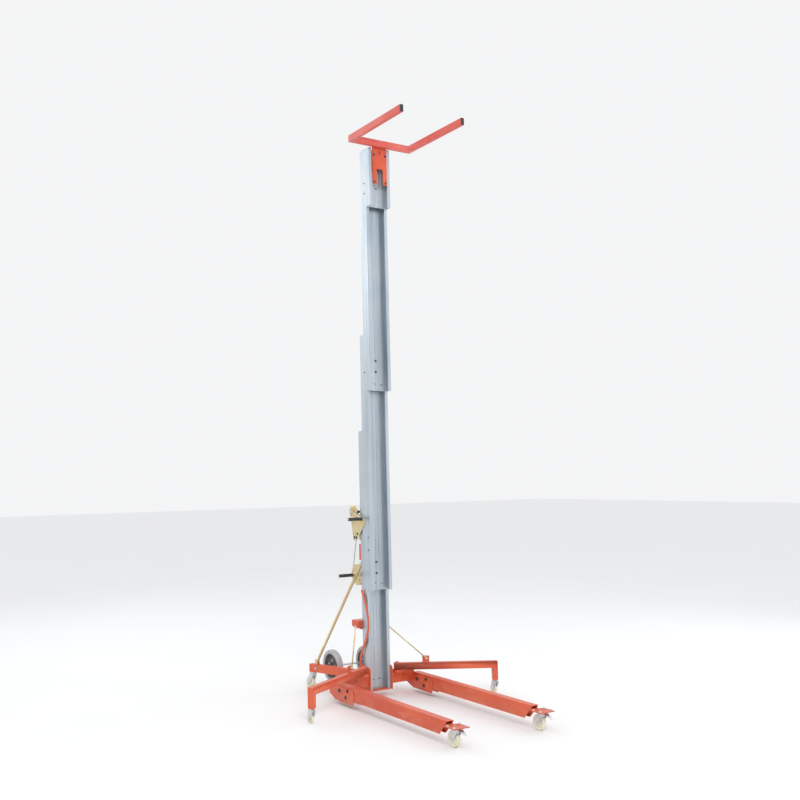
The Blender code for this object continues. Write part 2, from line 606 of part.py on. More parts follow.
def build_braces():
    """The cross bracket behind the mast, the two stabilizer braces and the two rear braces."""
    low, high = BRACKET_Z
    front, back = BRACKET_Y
    half = BRACKET_HALF_WIDTH
    outline = [(-half, high), (-half, low + 0.020), (-half + 0.030, low), (half - 0.030, low),
               (half, low + 0.020), (half, high)]
    body = prism(outline, "y", front, back)
    pocket = box((-half + 0.005, front + 0.005, low + 0.022), (half - 0.005, back + 0.01, high - 0.005))
    pins = []
    for side in SIDES.values():
        top, _, hinge, _ = brace_ends(side)
        pins.append(rod(top - hinge * 0.020, top + hinge * 0.008, BRACE_PIN_RADIUS, 12))
        pins.append(rod(top + hinge * (0.006 + GAP), top + hinge * 0.010, 0.008, 12))
    bracket = fused([body], [pocket])
    piece("brace_bracket", "orange_paint", fused([bracket, *pins]))
    for name, side in SIDES.items():
        top, foot, hinge, across = brace_ends(side)
        shaft = rod(top, foot, BRACE_RADIUS, 12)
        eyes = [rod(top - hinge * 0.006, top + hinge * 0.006, 0.010, 14),
                rod(foot - across * 0.006, foot + across * 0.006, 0.010, 14)]
        shoulder = rod(foot, foot + across * (BRACE_STANDOFF - GAP), 0.0055, 12)
        bore = rod(top - hinge * 0.02, top + hinge * 0.02, BRACE_PIN_RADIUS + GAP, 12)
        piece(f"stabilizer_brace_{name}", "yellow_zinc", fused([shaft, *eyes, shoulder], [bore]), top)
    rail_back = CHANNEL_DEPTH + RAIL_NECK + RAIL_DEPTH
    for name, side in SIDES.items():
        top_x, top_z = side * REAR_BRACE_TOP[0], REAR_BRACE_TOP[1]
        foot_x, foot_y = side * REAR_BRACE_FOOT[0], REAR_BRACE_FOOT[1]
        clamp = box((top_x - 0.011, rail_back + GAP, top_z - 0.030),
                    (top_x + 0.011, rail_back + 0.014, top_z + 0.030))
        foot_z = REAR_ARM_Z[1] + GAP
        shoe = box((foot_x - 0.012, foot_y - 0.016, foot_z), (foot_x + 0.012, foot_y + 0.016, foot_z + 0.036))
        shaft = rod((top_x, rail_back + 0.009, top_z), (foot_x, foot_y, foot_z + 0.022), REAR_BRACE_RADIUS, 14)
        keep_clear = box((-0.6, -0.2, top_z - 0.2), (0.6, rail_back + GAP, top_z + 0.2))
        piece(f"rear_brace_{name}", "yellow_zinc", fused([shaft, clamp, shoe], [keep_clear]))


# ---------------------------------------------------------------- transport wheels
def build_transport_wheels():
    """The axle through the rear arms, and two tyred wheels on plain hubs."""
    reach = REAR_ARM_END[0] + 0.015
    axle = rod((-reach, AXLE_Y, AXLE_Z), (reach, AXLE_Y, AXLE_Z), AXLE_RADIUS)
    piece("transport_axle", "bright_zinc", axle, smooth=True)
    seat = HUB_RADIUS + 0.004
    for name, side in SIDES.items():
        centre = (side * WHEEL_X, AXLE_Y, AXLE_Z)
        bore = AXLE_RADIUS + GAP
        hub = [(-0.024, bore), (-0.024, 0.024), (-0.008, 0.030), (-0.006, HUB_RADIUS - 0.010),
               (-0.018, HUB_RADIUS), (-0.018, seat), (0.018, seat), (0.018, HUB_RADIUS),
               (0.006, HUB_RADIUS - 0.010), (0.008, 0.030), (0.024, 0.024), (0.024, bore)]
        piece(f"transport_hub_{name}", "dark_steel", turned(hub, centre, 36), centre, smooth=True)
        low = seat + GAP
        crown = TYRE_RADIUS - low
        tyre = [(-0.018, low), (-TYRE_SECTION, low + crown * 0.35), (-TYRE_SECTION * 0.86, low + crown * 0.78),
                (-TYRE_SECTION * 0.45, TYRE_RADIUS), (TYRE_SECTION * 0.45, TYRE_RADIUS),
                (TYRE_SECTION * 0.86, low + crown * 0.78), (TYRE_SECTION, low + crown * 0.35), (0.018, low)]
        piece(f"transport_tyre_{name}", "grey_rubber", turned(tyre, centre, 36), centre, smooth=True)


# ---------------------------------------------------------------- winch
def build_winch():
    """The winch frame on the mast, the drum with its gear, and the crank with its grip."""
    inner = COLUMN_WIDTH / 2 + GAP
    outer = inner + WINCH_SHEET
    drum_y, drum_z = DRUM_AXIS
    crank_y, crank_z = CRANK_AXIS
    outline = [(0.006, 1.290), (0.010, 1.306), (crank_y - 0.028, 1.322), (crank_y - 0.018, crank_z + 0.014),
               (crank_y, crank_z + 0.020), (crank_y + 0.018, crank_z + 0.014), (crank_y + 0.045, 1.312),
               (0.186, 1.215), (0.172, 1.155), (0.128, 1.155), (0.085, 1.205)]
    plates = []
    for side in SIDES.values():
        start, end = sorted((side * inner, side * outer))
        plates.append(prism(outline, "x", start, end))
    rail_back = CHANNEL_DEPTH + RAIL_NECK + RAIL_DEPTH
    tie = box((-inner - 0.001, rail_back + GAP, 1.160), (inner + 0.001, rail_back + 0.006, 1.225))
    shaft = rod((-outer - 0.006, drum_y, drum_z), (outer + 0.006, drum_y, drum_z), 0.008)
    crank_bore = rod((-0.13, crank_y, crank_z), (0.13, crank_y, crank_z), 0.008 + GAP)
    piece("winch_frame", "yellow_zinc", fused([plates[0], plates[1], tie, shaft], [crank_bore]))
    half = DRUM_HALF_LENGTH
    bore = 0.008 + GAP
    gear_x = -half - 0.022
    drum = [(gear_x - 0.006, bore), (gear_x - 0.006, GEAR_RADIUS), (gear_x + 0.006, GEAR_RADIUS),
            (gear_x + 0.006, 0.020), (-half - 0.004, 0.020), (-half - 0.004, FLANGE_RADIUS),
            (-half, FLANGE_RADIUS), (-half, DRUM_RADIUS), (half, DRUM_RADIUS), (half, FLANGE_RADIUS),
            (half + 0.004, FLANGE_RADIUS), (half + 0.004, bore)]
    centre = (0, drum_y, drum_z)
    piece("winch_drum", "bright_zinc", turned(drum, centre, 36), centre, smooth=True)
    spindle = rod((-outer - 0.022, crank_y, crank_z), (outer + 0.006, crank_y, crank_z), 0.008)
    pinion = rod((gear_x - 0.006, crank_y, crank_z), (gear_x + 0.006, crank_y, crank_z), PINION_RADIUS)
    piece("pinion_shaft", "dark_steel", fused([spindle, pinion]), (0, crank_y, crank_z))
    cover_x = -outer - 0.008
    cover = [(-0.005, bore), (-0.005, 0.018), (-0.003, COVER_RADIUS - 0.006), (0.001, COVER_RADIUS),
             (0.006, COVER_RADIUS), (0.006, bore)]
    cover_centre = (cover_x, crank_y, crank_z)
    piece("brake_disc", "yellow_zinc", turned(cover, cover_centre, 36), cover_centre, smooth=True)
    arm_x = (-outer - 0.021, -outer - 0.0145)
    grip_y, grip_z = CRANK_GRIP
    run = Vector((grip_y - crank_y, grip_z - crank_z))
    side_step = Vector((-run.y, run.x)).normalized() * 0.011
    hub, tip = Vector((crank_y, crank_z)), Vector((grip_y, grip_z))
    back = run.normalized() * 0.014
    bar = prism([hub - back + side_step, tip + back + side_step * 0.8, tip + back - side_step * 0.8,
                 hub - back - side_step], "x", *arm_x)
    spindle_hole = rod((-0.14, crank_y, crank_z), (-0.09, crank_y, crank_z), 0.008 + GAP)
    grip_pin = rod((arm_x[1], grip_y, grip_z), (arm_x[0] - GRIP_LENGTH - 0.004, grip_y, grip_z), 0.006, 12)
    piece("crank_arm", "yellow_zinc", fused([bar, grip_pin], [spindle_hole]), (0, crank_y, crank_z))
    build_grip("crank_grip", arm_x[0] - 0.001 - GRIP_LENGTH / 2, grip_y, grip_z, 0.006 + GAP)


def build_grip(name, middle_x, y, z, bore):
    """A ribbed plastic grip on a pin along X."""
    half = GRIP_LENGTH / 2
    profile = [(-half, bore), (-half, GRIP_RADIUS - 0.003), (-half + 0.004, GRIP_RADIUS),
               (0.0, GRIP_RADIUS - 0.0012), (half - 0.006, GRIP_RADIUS), (half - 0.004, GRIP_RADIUS + 0.002),
               (half, GRIP_RADIUS + 0.002), (half, bore)]
    centre = (middle_x, y, z)
    piece(name, "black_plastic", turned(profile, centre, 20), centre, smooth=True)


def build_lower_sheave():
    """The big sheave below the winch, its bracket, and the push handles on the same bar."""
    sheave_y, sheave_z = SHEAVE_AXIS
    rail_back = CHANNEL_DEPTH + RAIL_NECK + RAIL_DEPTH
    plate = box((-0.078, rail_back + GAP, 0.770), (0.078, rail_back + 0.005, 0.945))
    cheek_outline = [(rail_back + 0.003, 0.780), (sheave_y + 0.016, sheave_z - 0.022),
                     (sheave_y + 0.022, sheave_z), (sheave_y + 0.016, sheave_z + 0.018),
                     (rail_back + 0.003, 0.940)]
    cheeks = [prism(cheek_outline, "x", SHEAVE_X + 0.014, SHEAVE_X + 0.018),
              prism(cheek_outline, "x", -SHEAVE_X - 0.018, -SHEAVE_X - 0.014)]
    reach = COLUMN_WIDTH / 2 + 0.012 + GRIP_LENGTH
    bar = rod((-reach, sheave_y, sheave_z), (reach, sheave_y, sheave_z), HANDLE_BAR_RADIUS)
    piece("handle_bracket", "orange_paint", fused([plate, *cheeks, bar]))
    bore = HANDLE_BAR_RADIUS + GAP
    for name, side in SIDES.items():
        build_grip(f"handle_grip_{name}", side * (reach - GRIP_LENGTH / 2), sheave_y, sheave_z, bore)
    rim, groove = SHEAVE_RADIUS, SHEAVE_GROOVE
    profile = [(-0.012, bore), (-0.012, 0.020), (-0.009, 0.022), (-0.009, rim), (-0.004, rim), (-0.003, groove),
               (0.003, groove), (0.004, rim), (0.009, rim), (0.009, 0.022), (0.012, 0.020), (0.012, bore)]
    centre = (SHEAVE_X, sheave_y, sheave_z)
    piece("lower_sheave", "yellow_zinc", turned(profile, centre, 40), centre, smooth=True)


# ---------------------------------------------------------------- cable
def cable_tube(name, points, origin=(0, 0, 0)):
    """A wire rope along its route, as a bevelled curve with closed ends."""
    route = bpy.data.curves.new(name, "CURVE")
    route.dimensions = "3D"
    route.bevel_depth = CABLE_RADIUS
    route.bevel_resolution = 2
    route.use_fill_caps = True
    spline = route.splines.new("POLY")
    spline.points.add(len(points) - 1)
    origin = Vector(origin)
    for target, point in zip(spline.points, points):
        target.co = (*(Vector(point) - origin), 1.0)
    thing = bpy.data.objects.new(name, route)
    bpy.context.collection.objects.link(thing)
    thing.location = origin
    route.materials.append(finish(name, "wire_rope"))
    return thing


def arc(centre, radius, start, end, steps, x):
    """Points on an arc in the plane across X, from one angle to another, measured from +Y."""
    points = []
    for step in range(steps + 1):
        angle = math.radians(start + (end - start) * step / steps)
        points.append((x, centre[0] + radius * math.cos(angle), centre[1] + radius * math.sin(angle)))
    return points


def build_cables():
    """The wire rope: drum, lower sheave, up the back of the mast, over the head and down inside."""
    drum_y, drum_z = DRUM_AXIS
    wrap = CABLE_RADIUS + 2 * GAP
    sheave = SHEAVE_GROOVE + wrap
    front_y, _, top = column_placing()["column_1"]
    rail_back = CHANNEL_DEPTH + RAIL_NECK + RAIL_DEPTH
    pulley_y = front_y + (CHANNEL_DEPTH - WEB_THICKNESS + rail_back) / 2
    pulley_z = top + HEAD_PULLEY_RADIUS + 0.008
    groove = HEAD_PULLEY_RADIUS - 0.006 + wrap
    head = (pulley_y, pulley_z)
    rise_y = pulley_y + groove
    tail = [(SHEAVE_X + 0.012, drum_y + DRUM_RADIUS + wrap, drum_z)]
    under = arc(SHEAVE_AXIS, sheave, 12, -180, 24, SHEAVE_X)
    lead = [(SHEAVE_X, rail_back + 0.012, 1.02)]
    up = [(HEAD_PULLEY_X * 1.2, rise_y + 0.002, 1.50), (HEAD_PULLEY_X, rise_y, pulley_z - 0.12)]
    over = arc(head, groove, 0, 180, 18, HEAD_PULLEY_X)
    fall_y = pulley_y - groove
    end = [(HEAD_PULLEY_X, fall_y, pulley_z - 0.030)]
    cable_tube("lift_cable", tail + under + lead + up + over + end)
    foot_2 = column_placing()["column_2"][1]
    x = HEAD_PULLEY_X
    cable_tube("cable_fall", [(x, fall_y, pulley_z - 0.0305), (x, fall_y, foot_2 + 0.030)], (x, fall_y, foot_2))


# ---------------------------------------------------------------- hold-down bar
def build_hold_down_bar():
    """The bent flat bar beside the mast, on a bolt at its foot."""
    pivot_y, pivot_z = BAR_PIVOT
    inner = COLUMN_WIDTH / 2 + GAP + SOCKET_THICKNESS + BAR_CLEARANCE
    spine = [(pivot_y, pivot_z), (0.098, 0.285), (0.058, 0.363), (0.012, 0.440), (-0.018, 0.515),
             (-0.017, 0.590), (0.012, 0.685), (0.064, 0.790)]
    half = BAR_WIDTH / 2
    left, right = [], []
    for index, (y, z) in enumerate(spine):
        before = Vector(spine[max(index - 1, 0)])
        after = Vector(spine[min(index + 1, len(spine) - 1)])
        direction = (after - before).normalized()
        normal = Vector((-direction.y, direction.x)) * half
        left.append((y + normal.x, z + normal.y))
        right.append((y - normal.x, z - normal.y))
    bar = prism(left + right[::-1], "x", -inner - BAR_SHEET, -inner)
    eye = rod((-inner - BAR_SHEET, pivot_y, pivot_z), (-inner, pivot_y, pivot_z), 0.018)
    bore = rod((-inner - 0.02, pivot_y, pivot_z), (-inner + 0.02, pivot_y, pivot_z), BAR_BOLT_RADIUS + GAP)
    piece("hold_down_bar", "orange_paint", fused([bar, eye], [bore]), (-inner, pivot_y, pivot_z))


# ---------------------------------------------------------------- fork
def build_fork():
    """The U-shaped load fork, its end caps, and the notched hanger plate on the carriage."""
    front_y = -3 * COLUMN_STEP
    plate_back = front_y - GAP
    plate_front = plate_back - HANGER_SHEET
    width, height = FORK_TUBE
    low, high = FORK_Z, FORK_Z + height
    back = plate_front - GAP
    tip = back - FORK_LENGTH
    half = FORK_HALF_WIDTH
    outline = [(-half, back), (half, back), (half, tip), (half - width, tip), (half - width, back - width),
               (-half + width, back - width), (-half + width, tip), (-half, tip)]
    wall = FORK_WALL
    inside = [(-half + wall, back - wall), (half - wall, back - wall), (half - wall, tip - 0.01),
              (half - width + wall, tip - 0.01), (half - width + wall, back - width + wall),
              (-half + width - wall, back - width + wall), (-half + width - wall, tip - 0.01),
              (-half + wall, tip - 0.01)]
    frame = fused([prism(outline, "z", low, high)], [prism(inside, "z", low + wall, high - wall)])
    gusset = prism([(-half + width - 0.001, back - width + 0.001), (-half + width + 0.045, back - width + 0.001),
                    (-half + width - 0.001, back - width - 0.045)], "z", low, low + 0.004)
    other = prism([(half - width + 0.001, back - width + 0.001), (half - width + 0.001, back - width - 0.045),
                   (half - width - 0.045, back - width + 0.001)], "z", low, low + 0.004)
    piece("fork_frame", "fork_paint", fused([frame, gusset, other]))
    for name, side in SIDES.items():
        centre = side * (half - width / 2)
        flange = box((centre - width / 2, tip - 0.004 - GAP, low), (centre + width / 2, tip - GAP, high))
        inset = wall + GAP
        plug = box((centre - width / 2 + inset, tip - 0.002, low + inset),
                   (centre + width / 2 - inset, tip + 0.012, high - inset))
        piece(f"fork_cap_{name}", "black_plastic", fused([flange, plug]))
    reach, notch_top = HANGER_NOTCH
    edge = HANGER_HALF_WIDTH
    foot = HANGER_FOOT_Z
    plate = prism([(-edge, foot + 0.006), (-edge + 0.006, foot), (-reach, foot), (-reach, notch_top),
                   (reach, notch_top), (reach, foot), (edge - 0.006, foot), (edge, foot + 0.006),
                   (edge, high), (-edge, high)], "y", plate_front, plate_back)
    slot = box((-0.006, plate_front - 0.01, 4.105), (0.006, plate_back + 0.01, 4.135))
    piece("fork_hanger", "orange_paint", fused([plate], [slot]))


def build():
    """Builds every piece of the lift."""
    clear_scene()
    build_mast()
    build_head_pulleys()
    build_base_frame()
    build_rear_arms()
    build_knuckles()
    build_legs()
    build_casters()
    build_stabilizers()
    build_braces()
    build_transport_wheels()
    build_winch()
    build_lower_sheave()
    build_cables()
    build_hold_down_bar()
    build_fork()
    front = FRONT_CASTER_Y - BRAKE_REACH
    rear = REAR_ARM_END[1] + REAR_CASTER["trail"] + REAR_CASTER["radius"]
    for thing in bpy.data.objects:
        thing.location.y -= (front + rear) / 2


build()
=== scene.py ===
"""Looks of a drywall lift: telescoping aluminium mast, load fork and folding steel base.

Each sub-assembly is a class that holds its own sizes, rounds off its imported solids, adds the
small hardware that they carry, and dresses everything in procedural finishes.
"""

import json
import logging
import math
from dataclasses import dataclass, field
from enum import Enum
from typing import Any, Sequence

import bmesh
import bpy
from mathutils import Matrix, Vector


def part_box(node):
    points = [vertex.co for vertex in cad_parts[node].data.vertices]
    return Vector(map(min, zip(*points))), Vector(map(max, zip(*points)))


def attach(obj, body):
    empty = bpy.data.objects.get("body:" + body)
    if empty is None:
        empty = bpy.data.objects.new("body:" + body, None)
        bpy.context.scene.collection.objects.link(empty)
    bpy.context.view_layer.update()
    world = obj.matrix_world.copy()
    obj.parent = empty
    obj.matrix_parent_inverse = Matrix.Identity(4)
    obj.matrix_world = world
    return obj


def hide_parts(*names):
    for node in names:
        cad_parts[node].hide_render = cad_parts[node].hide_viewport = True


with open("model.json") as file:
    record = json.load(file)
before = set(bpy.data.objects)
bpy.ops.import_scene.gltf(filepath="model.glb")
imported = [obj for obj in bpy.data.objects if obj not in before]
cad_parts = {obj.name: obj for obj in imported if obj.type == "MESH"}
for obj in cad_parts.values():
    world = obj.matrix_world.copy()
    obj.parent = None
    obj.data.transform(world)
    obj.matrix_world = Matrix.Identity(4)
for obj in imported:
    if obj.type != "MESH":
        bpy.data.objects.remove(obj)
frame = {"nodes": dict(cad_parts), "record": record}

logging.basicConfig(level=logging.INFO, format="%(levelname)s %(message)s")
LOG = logging.getLogger("lift")

Point = tuple[float, float, float]
Colour = tuple[float, float, float, float]
SIDES: dict[str, float] = {"left": -1.0, "right": 1.0}


class Axis(Enum):
    """The three directions that turned hardware can face."""

    X = (1.0, 0.0, 0.0)
    Y = (0.0, 1.0, 0.0)
    Z = (0.0, 0.0, 1.0)

    def turn(self) -> Matrix:
        """Matrix that turns +Z to this axis."""
        return Vector(self.value).to_track_quat("Z", "Y").to_matrix().to_4x4()


# ------------------------------------------------------------------ shader arithmetic
class Signal:
    """A number that varies over a surface, with arithmetic on it."""

    def __init__(self, graph: "Graph", socket: bpy.types.NodeSocket) -> None:
        """Wraps one output socket of a graph.

        Args:
            graph: the material's graph that the socket belongs to.
            socket: the output that carries the number.
        """
        self.graph = graph
        self.socket = socket

    def __add__(self, other: Any) -> "Signal":
        """Sum."""
        return self.graph.number("ADD", self, other)

    def __radd__(self, other: Any) -> "Signal":
        """Sum, number first."""
        return self.graph.number("ADD", other, self)

    def __sub__(self, other: Any) -> "Signal":
        """Difference."""
        return self.graph.number("SUBTRACT", self, other)

    def __rsub__(self, other: Any) -> "Signal":
        """Difference, number first."""
        return self.graph.number("SUBTRACT", other, self)

    def __mul__(self, other: Any) -> "Signal":
        """Product."""
        return self.graph.number("MULTIPLY", self, other)

    def __rmul__(self, other: Any) -> "Signal":
        """Product, number first."""
        return self.graph.number("MULTIPLY", other, self)

    def __truediv__(self, other: Any) -> "Signal":
        """Quotient."""
        return self.graph.number("DIVIDE", self, other)

    def __rtruediv__(self, other: Any) -> "Signal":
        """Quotient, number first."""
        return self.graph.number("DIVIDE", other, self)

    def between(self, low: float, high: float) -> "Signal":
        """Rises from 0 to 1 as the number goes from low to high.

        Args:
            low: where the result is 0.
            high: where the result is 1.

        Returns:
            The clamped result.
        """
        node = self.graph.node("ShaderNodeMapRange", {"clamp": True, "interpolation_type": "SMOOTHSTEP"},
                               {"Value": self, "From Min": low, "From Max": high})
        return Signal(self.graph, node.outputs["Result"])

    def repeat(self) -> "Signal":
        """The number's fractional part."""
        return self.graph.number("FRACT", self)

    def size(self) -> "Signal":
        """The number without its sign."""
        return self.graph.number("ABSOLUTE", self)


class Graph:
    """The node graph of one material."""

    def __init__(self, name: str) -> None:
        """Starts a material with a Principled shader.

        Args:
            name: the material's name.
        """
        self.material = bpy.data.materials.new(name)
        self.material.use_nodes = True
        self.tree = self.material.node_tree
        self.shader = self.tree.nodes["Principled BSDF"]
        self.place = self.node("ShaderNodeTexCoord").outputs["Object"]

    def node(self, kind: str, settings: dict[str, Any] | None = None,
             inputs: dict[Any, Any] | None = None) -> bpy.types.Node:
        """Adds any node.

        Args:
            kind: the node's type name.
            settings: attributes to set first.
            inputs: values or links for its sockets, by name or number.

        Returns:
            The new node.
        """
        made = self.tree.nodes.new(kind)
        for key, value in (settings or {}).items():
            setattr(made, key, value)
        for key, value in (inputs or {}).items():
            self.feed(made.inputs[key], value)
        return made

    def feed(self, target: bpy.types.NodeSocket, value: Any) -> None:
        """Links a signal or socket to an input, or sets its value.

        Args:
            target: the input socket.
            value: a signal, a socket, a number or a tuple.
        """
        if isinstance(value, Signal):
            self.tree.links.new(value.socket, target)
        elif isinstance(value, bpy.types.NodeSocket):
            self.tree.links.new(value, target)
        else:
            target.default_value = value

    def number(self, operation: str, *terms: Any) -> Signal:
        """One Math node.

        Args:
            operation: the node's operation.
            terms: its values or signals, in order.

        Returns:
            The result.
        """
        node = self.node("ShaderNodeMath", {"operation": operation}, dict(enumerate(terms)))
        return Signal(self, node.outputs[0])

    def blend(self, share: Any, first: Any, second: Any) -> bpy.types.NodeSocket:
        """Mixes two colours.

        Args:
            share: 0 for the first colour, 1 for the second.
            first: a colour or a socket.
            second: a colour or a socket.

        Returns:
            The mixed colour's socket.
        """
        node = self.node("ShaderNodeMix", {"data_type": "RGBA"}, {0: share, 6: first, 7: second})
        return node.outputs[2]

    def stretched(self, scale: Point) -> bpy.types.NodeSocket:
        """Object coordinates scaled along each axis.

        Args:
            scale: the factor along X, Y and Z.

        Returns:
            The scaled coordinates' socket.
        """
        return self.node("ShaderNodeMapping", None, {"Vector": self.place, "Scale": scale}).outputs["Vector"]

    def noise(self, scale: float, detail: float = 3.0, stretch: Point = (1.0, 1.0, 1.0)) -> Signal:
        """Smooth random variation.

        Args:
            scale: cycles per metre.
            detail: octaves of finer variation.
            stretch: extra factor along each axis.

        Returns:
            The variation, about 0.5.
        """
        node = self.node("ShaderNodeTexNoise", None,
                         {"Vector": self.stretched(stretch), "Scale": scale, "Detail": detail})
        return Signal(self, node.outputs["Fac"])

    def cells(self, scale: float, stretch: Point = (1.0, 1.0, 1.0)) -> Signal:
        """Distance to the nearest of scattered points.

        Args:
            scale: points per metre.
            stretch: extra factor along each axis.

        Returns:
            The distance in cell widths.
        """
        node = self.node("ShaderNodeTexVoronoi", None, {"Vector": self.stretched(stretch), "Scale": scale})
        return Signal(self, node.outputs["Distance"])

    def along(self, axis: Axis) -> Signal:
        """One object coordinate.

        Args:
            axis: which one.

        Returns:
            Its value in metres.
        """
        return Signal(self, self.node("ShaderNodeSeparateXYZ", None, {0: self.place}).outputs[axis.name])

    def relief(self, height: Signal, strength: float, distance: float) -> None:
        """Feeds a bump to the shader.

        Args:
            height: the surface height.
            strength: the effect's share.
            distance: the height in metres of one unit.
        """
        bump = self.node("ShaderNodeBump", None,
                         {"Height": height, "Strength": strength, "Distance": distance})
        self.feed(self.shader.inputs["Normal"], bump.outputs["Normal"])

    def surface(self, **sockets: Any) -> None:
        """Feeds the shader's sockets, named with underscores for spaces.

        Args:
            sockets: values or links.
        """
        for key, value in sockets.items():
            self.feed(self.shader.inputs[key.replace("_", " ")], value)


# ------------------------------------------------------------------ finishes
@dataclass(frozen=True)
class Finish:
    """A surface finish and the record's slot that it belongs to."""

    slot: str
    colour: Colour
    worn: Colour
    roughness: float

    def material(self) -> bpy.types.Material:
        """The finish's material, made once.

        Returns:
            The material.
        """
        name = self.slot + "_finish"
        if name not in bpy.data.materials:
            graph = Graph(name)
            self.shade(graph)
            graph.material.diffuse_color = self.colour
        return bpy.data.materials[name]

    def shade(self, graph: Graph) -> None:
        """Builds the finish's nodes.

        Args:
            graph: the material's graph.
        """
        raise NotImplementedError


@dataclass(frozen=True)
class Paint(Finish):
    """Powder coat: faint orange peel, clouding, small chips, scuffs and floor dust."""

    dust: Colour = (0.46, 0.36, 0.28, 1.0)

    def shade(self, graph: Graph) -> None:
        """Builds the powder coat.

        Args:
            graph: the material's graph.
        """
        clouds = graph.noise(3.5, 5.0)
        scuffs = graph.noise(60.0, 4.0, (1.0, 0.12, 1.0)).between(0.61, 0.70)
        chips = (graph.noise(48.0, 2.0).between(0.60, 0.66)
                 * (graph.cells(140.0) * -1.0 + 0.36).between(0.0, 0.14))
        low = ((graph.along(Axis.Z) * -1.0 + 0.14).between(0.0, 0.14)
               * graph.noise(14.0, 5.0).between(0.38, 0.72))
        tone = graph.blend(clouds.between(0.30, 0.72), self.colour, self.worn)
        tone = graph.blend(scuffs * 0.22, tone, (0.80, 0.42, 0.30, 1.0))
        tone = graph.blend(low * 0.35, tone, self.dust)
        tone = graph.blend(chips * 0.75, tone, (0.20, 0.13, 0.10, 1.0))
        graph.surface(Base_Color=tone, Roughness=self.roughness + clouds * 0.14 + scuffs * 0.16 + low * 0.25,
                      Coat_Weight=0.18 - chips * 0.15, Coat_Roughness=0.22)
        graph.relief(graph.noise(620.0, 2.0) * 0.6 - chips * 1.5, 0.22, 0.0006)


@dataclass(frozen=True)
class Extrusion(Finish):
    """Anodised aluminium: die lines along the length, soft streaks, rub marks and a groove per side with
    painted shade in it.
    """

    pitch: float = 0.050

    def shade(self, graph: Graph) -> None:
        """Builds the anodised extrusion.

        Args:
            graph: the material's graph.
        """
        lines = graph.noise(210.0, 3.0, (1.0, 1.0, 0.006))
        streaks = graph.noise(26.0, 3.0, (1.0, 1.0, 0.05))
        clouds = graph.noise(2.4, 4.0)
        rubs = (graph.noise(90.0, 3.0, (1.0, 1.0, 0.035)).between(0.63, 0.72)
                * graph.noise(3.0, 2.0).between(0.48, 0.66))
        nicks = ((graph.cells(30.0) * -1.0 + 0.09).between(0.0, 0.04)
                 * graph.noise(11.0, 1.0).between(0.60, 0.64))
        front = float(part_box("column_1")[0][1])
        step = ((graph.along(Axis.Y) - front + 1.0) / self.pitch).repeat()
        # groove mask: a thin line every pitch along Y, used for the groove's relief and for painted shade in
        # the groove
        groove_shade = ((step - 0.62).size() * -1.0 + 0.016).between(0.0, 0.008)
        tone = graph.blend(streaks.between(0.30, 0.70), self.colour, self.worn)
        tone = graph.blend(clouds.between(0.35, 0.70) * 0.5, tone, (0.60, 0.64, 0.67, 1.0))
        tone = graph.blend(rubs * 0.5, tone, (0.80, 0.82, 0.83, 1.0))
        # nicks darken as real dents; the groove's darkening is painted shade in the groove
        tone = graph.blend(nicks * 0.7 + groove_shade * 0.35, tone, (0.22, 0.25, 0.28, 1.0))
        graph.surface(Base_Color=tone, Metallic=0.72,
                      Roughness=self.roughness + (lines - 0.5) * 0.16 + (clouds - 0.5) * 0.14 - rubs * 0.08)
        graph.relief(lines * 0.5 + rubs * 0.2 - nicks * 1.2 - groove_shade * 1.5, 0.30, 0.0004)


@dataclass(frozen=True)
class Plating(Finish):
    """Zinc plating: bright and passivated patches, fine drawing marks and rub-through."""

    sheen: Colour = (0.70, 0.60, 0.52, 1.0)

    def shade(self, graph: Graph) -> None:
        """Builds the plating.

        Args:
            graph: the material's graph.
        """
        patches = graph.noise(16.0, 5.0)
        tint = graph.noise(7.0, 3.0)
        spangle = graph.cells(260.0)
        drawn = graph.noise(380.0, 2.0, (1.0, 1.0, 0.05))
        spots = graph.noise(130.0, 3.0).between(0.66, 0.74)
        tone = graph.blend(patches.between(0.32, 0.70), self.colour, self.worn)
        tone = graph.blend(tint.between(0.46, 0.72) * 0.5, tone, self.sheen)
        tone = graph.blend(spots * 0.55, tone, (0.24, 0.18, 0.11, 1.0))
        graph.surface(Base_Color=tone, Metallic=0.85 - spots * 0.5,
                      Roughness=self.roughness + patches * 0.16 + spangle * 0.08 + spots * 0.2)
        graph.relief(drawn * 0.4 + spangle * 0.2 - spots * 0.6, 0.18, 0.0003)


@dataclass(frozen=True)
class Moulding(Finish):
    """Moulded plastic or rubber: fine grain, handling polish and dirt."""

    grain: float = 900.0
    dirt: Colour = (0.20, 0.18, 0.15, 1.0)
    soiling: float = 0.35

    def shade(self, graph: Graph) -> None:
        """Builds the moulding.

        Args:
            graph: the material's graph.
        """
        clouds = graph.noise(20.0, 4.0)
        fine = graph.noise(self.grain, 2.0)
        pits = (graph.cells(420.0) * -1.0 + 0.16).between(0.0, 0.08)
        marks = graph.noise(75.0, 5.0).between(0.52, 0.72)
        tone = graph.blend(clouds.between(0.30, 0.72), self.colour, self.worn)
        tone = graph.blend(marks * self.soiling + pits * 0.15, tone, self.dirt)
        graph.surface(Base_Color=tone, Roughness=self.roughness + clouds * 0.14 - marks * 0.08 + fine * 0.06)
        graph.relief(fine * 0.5 - pits * 0.7 + marks * 0.2, 0.30, 0.0004)


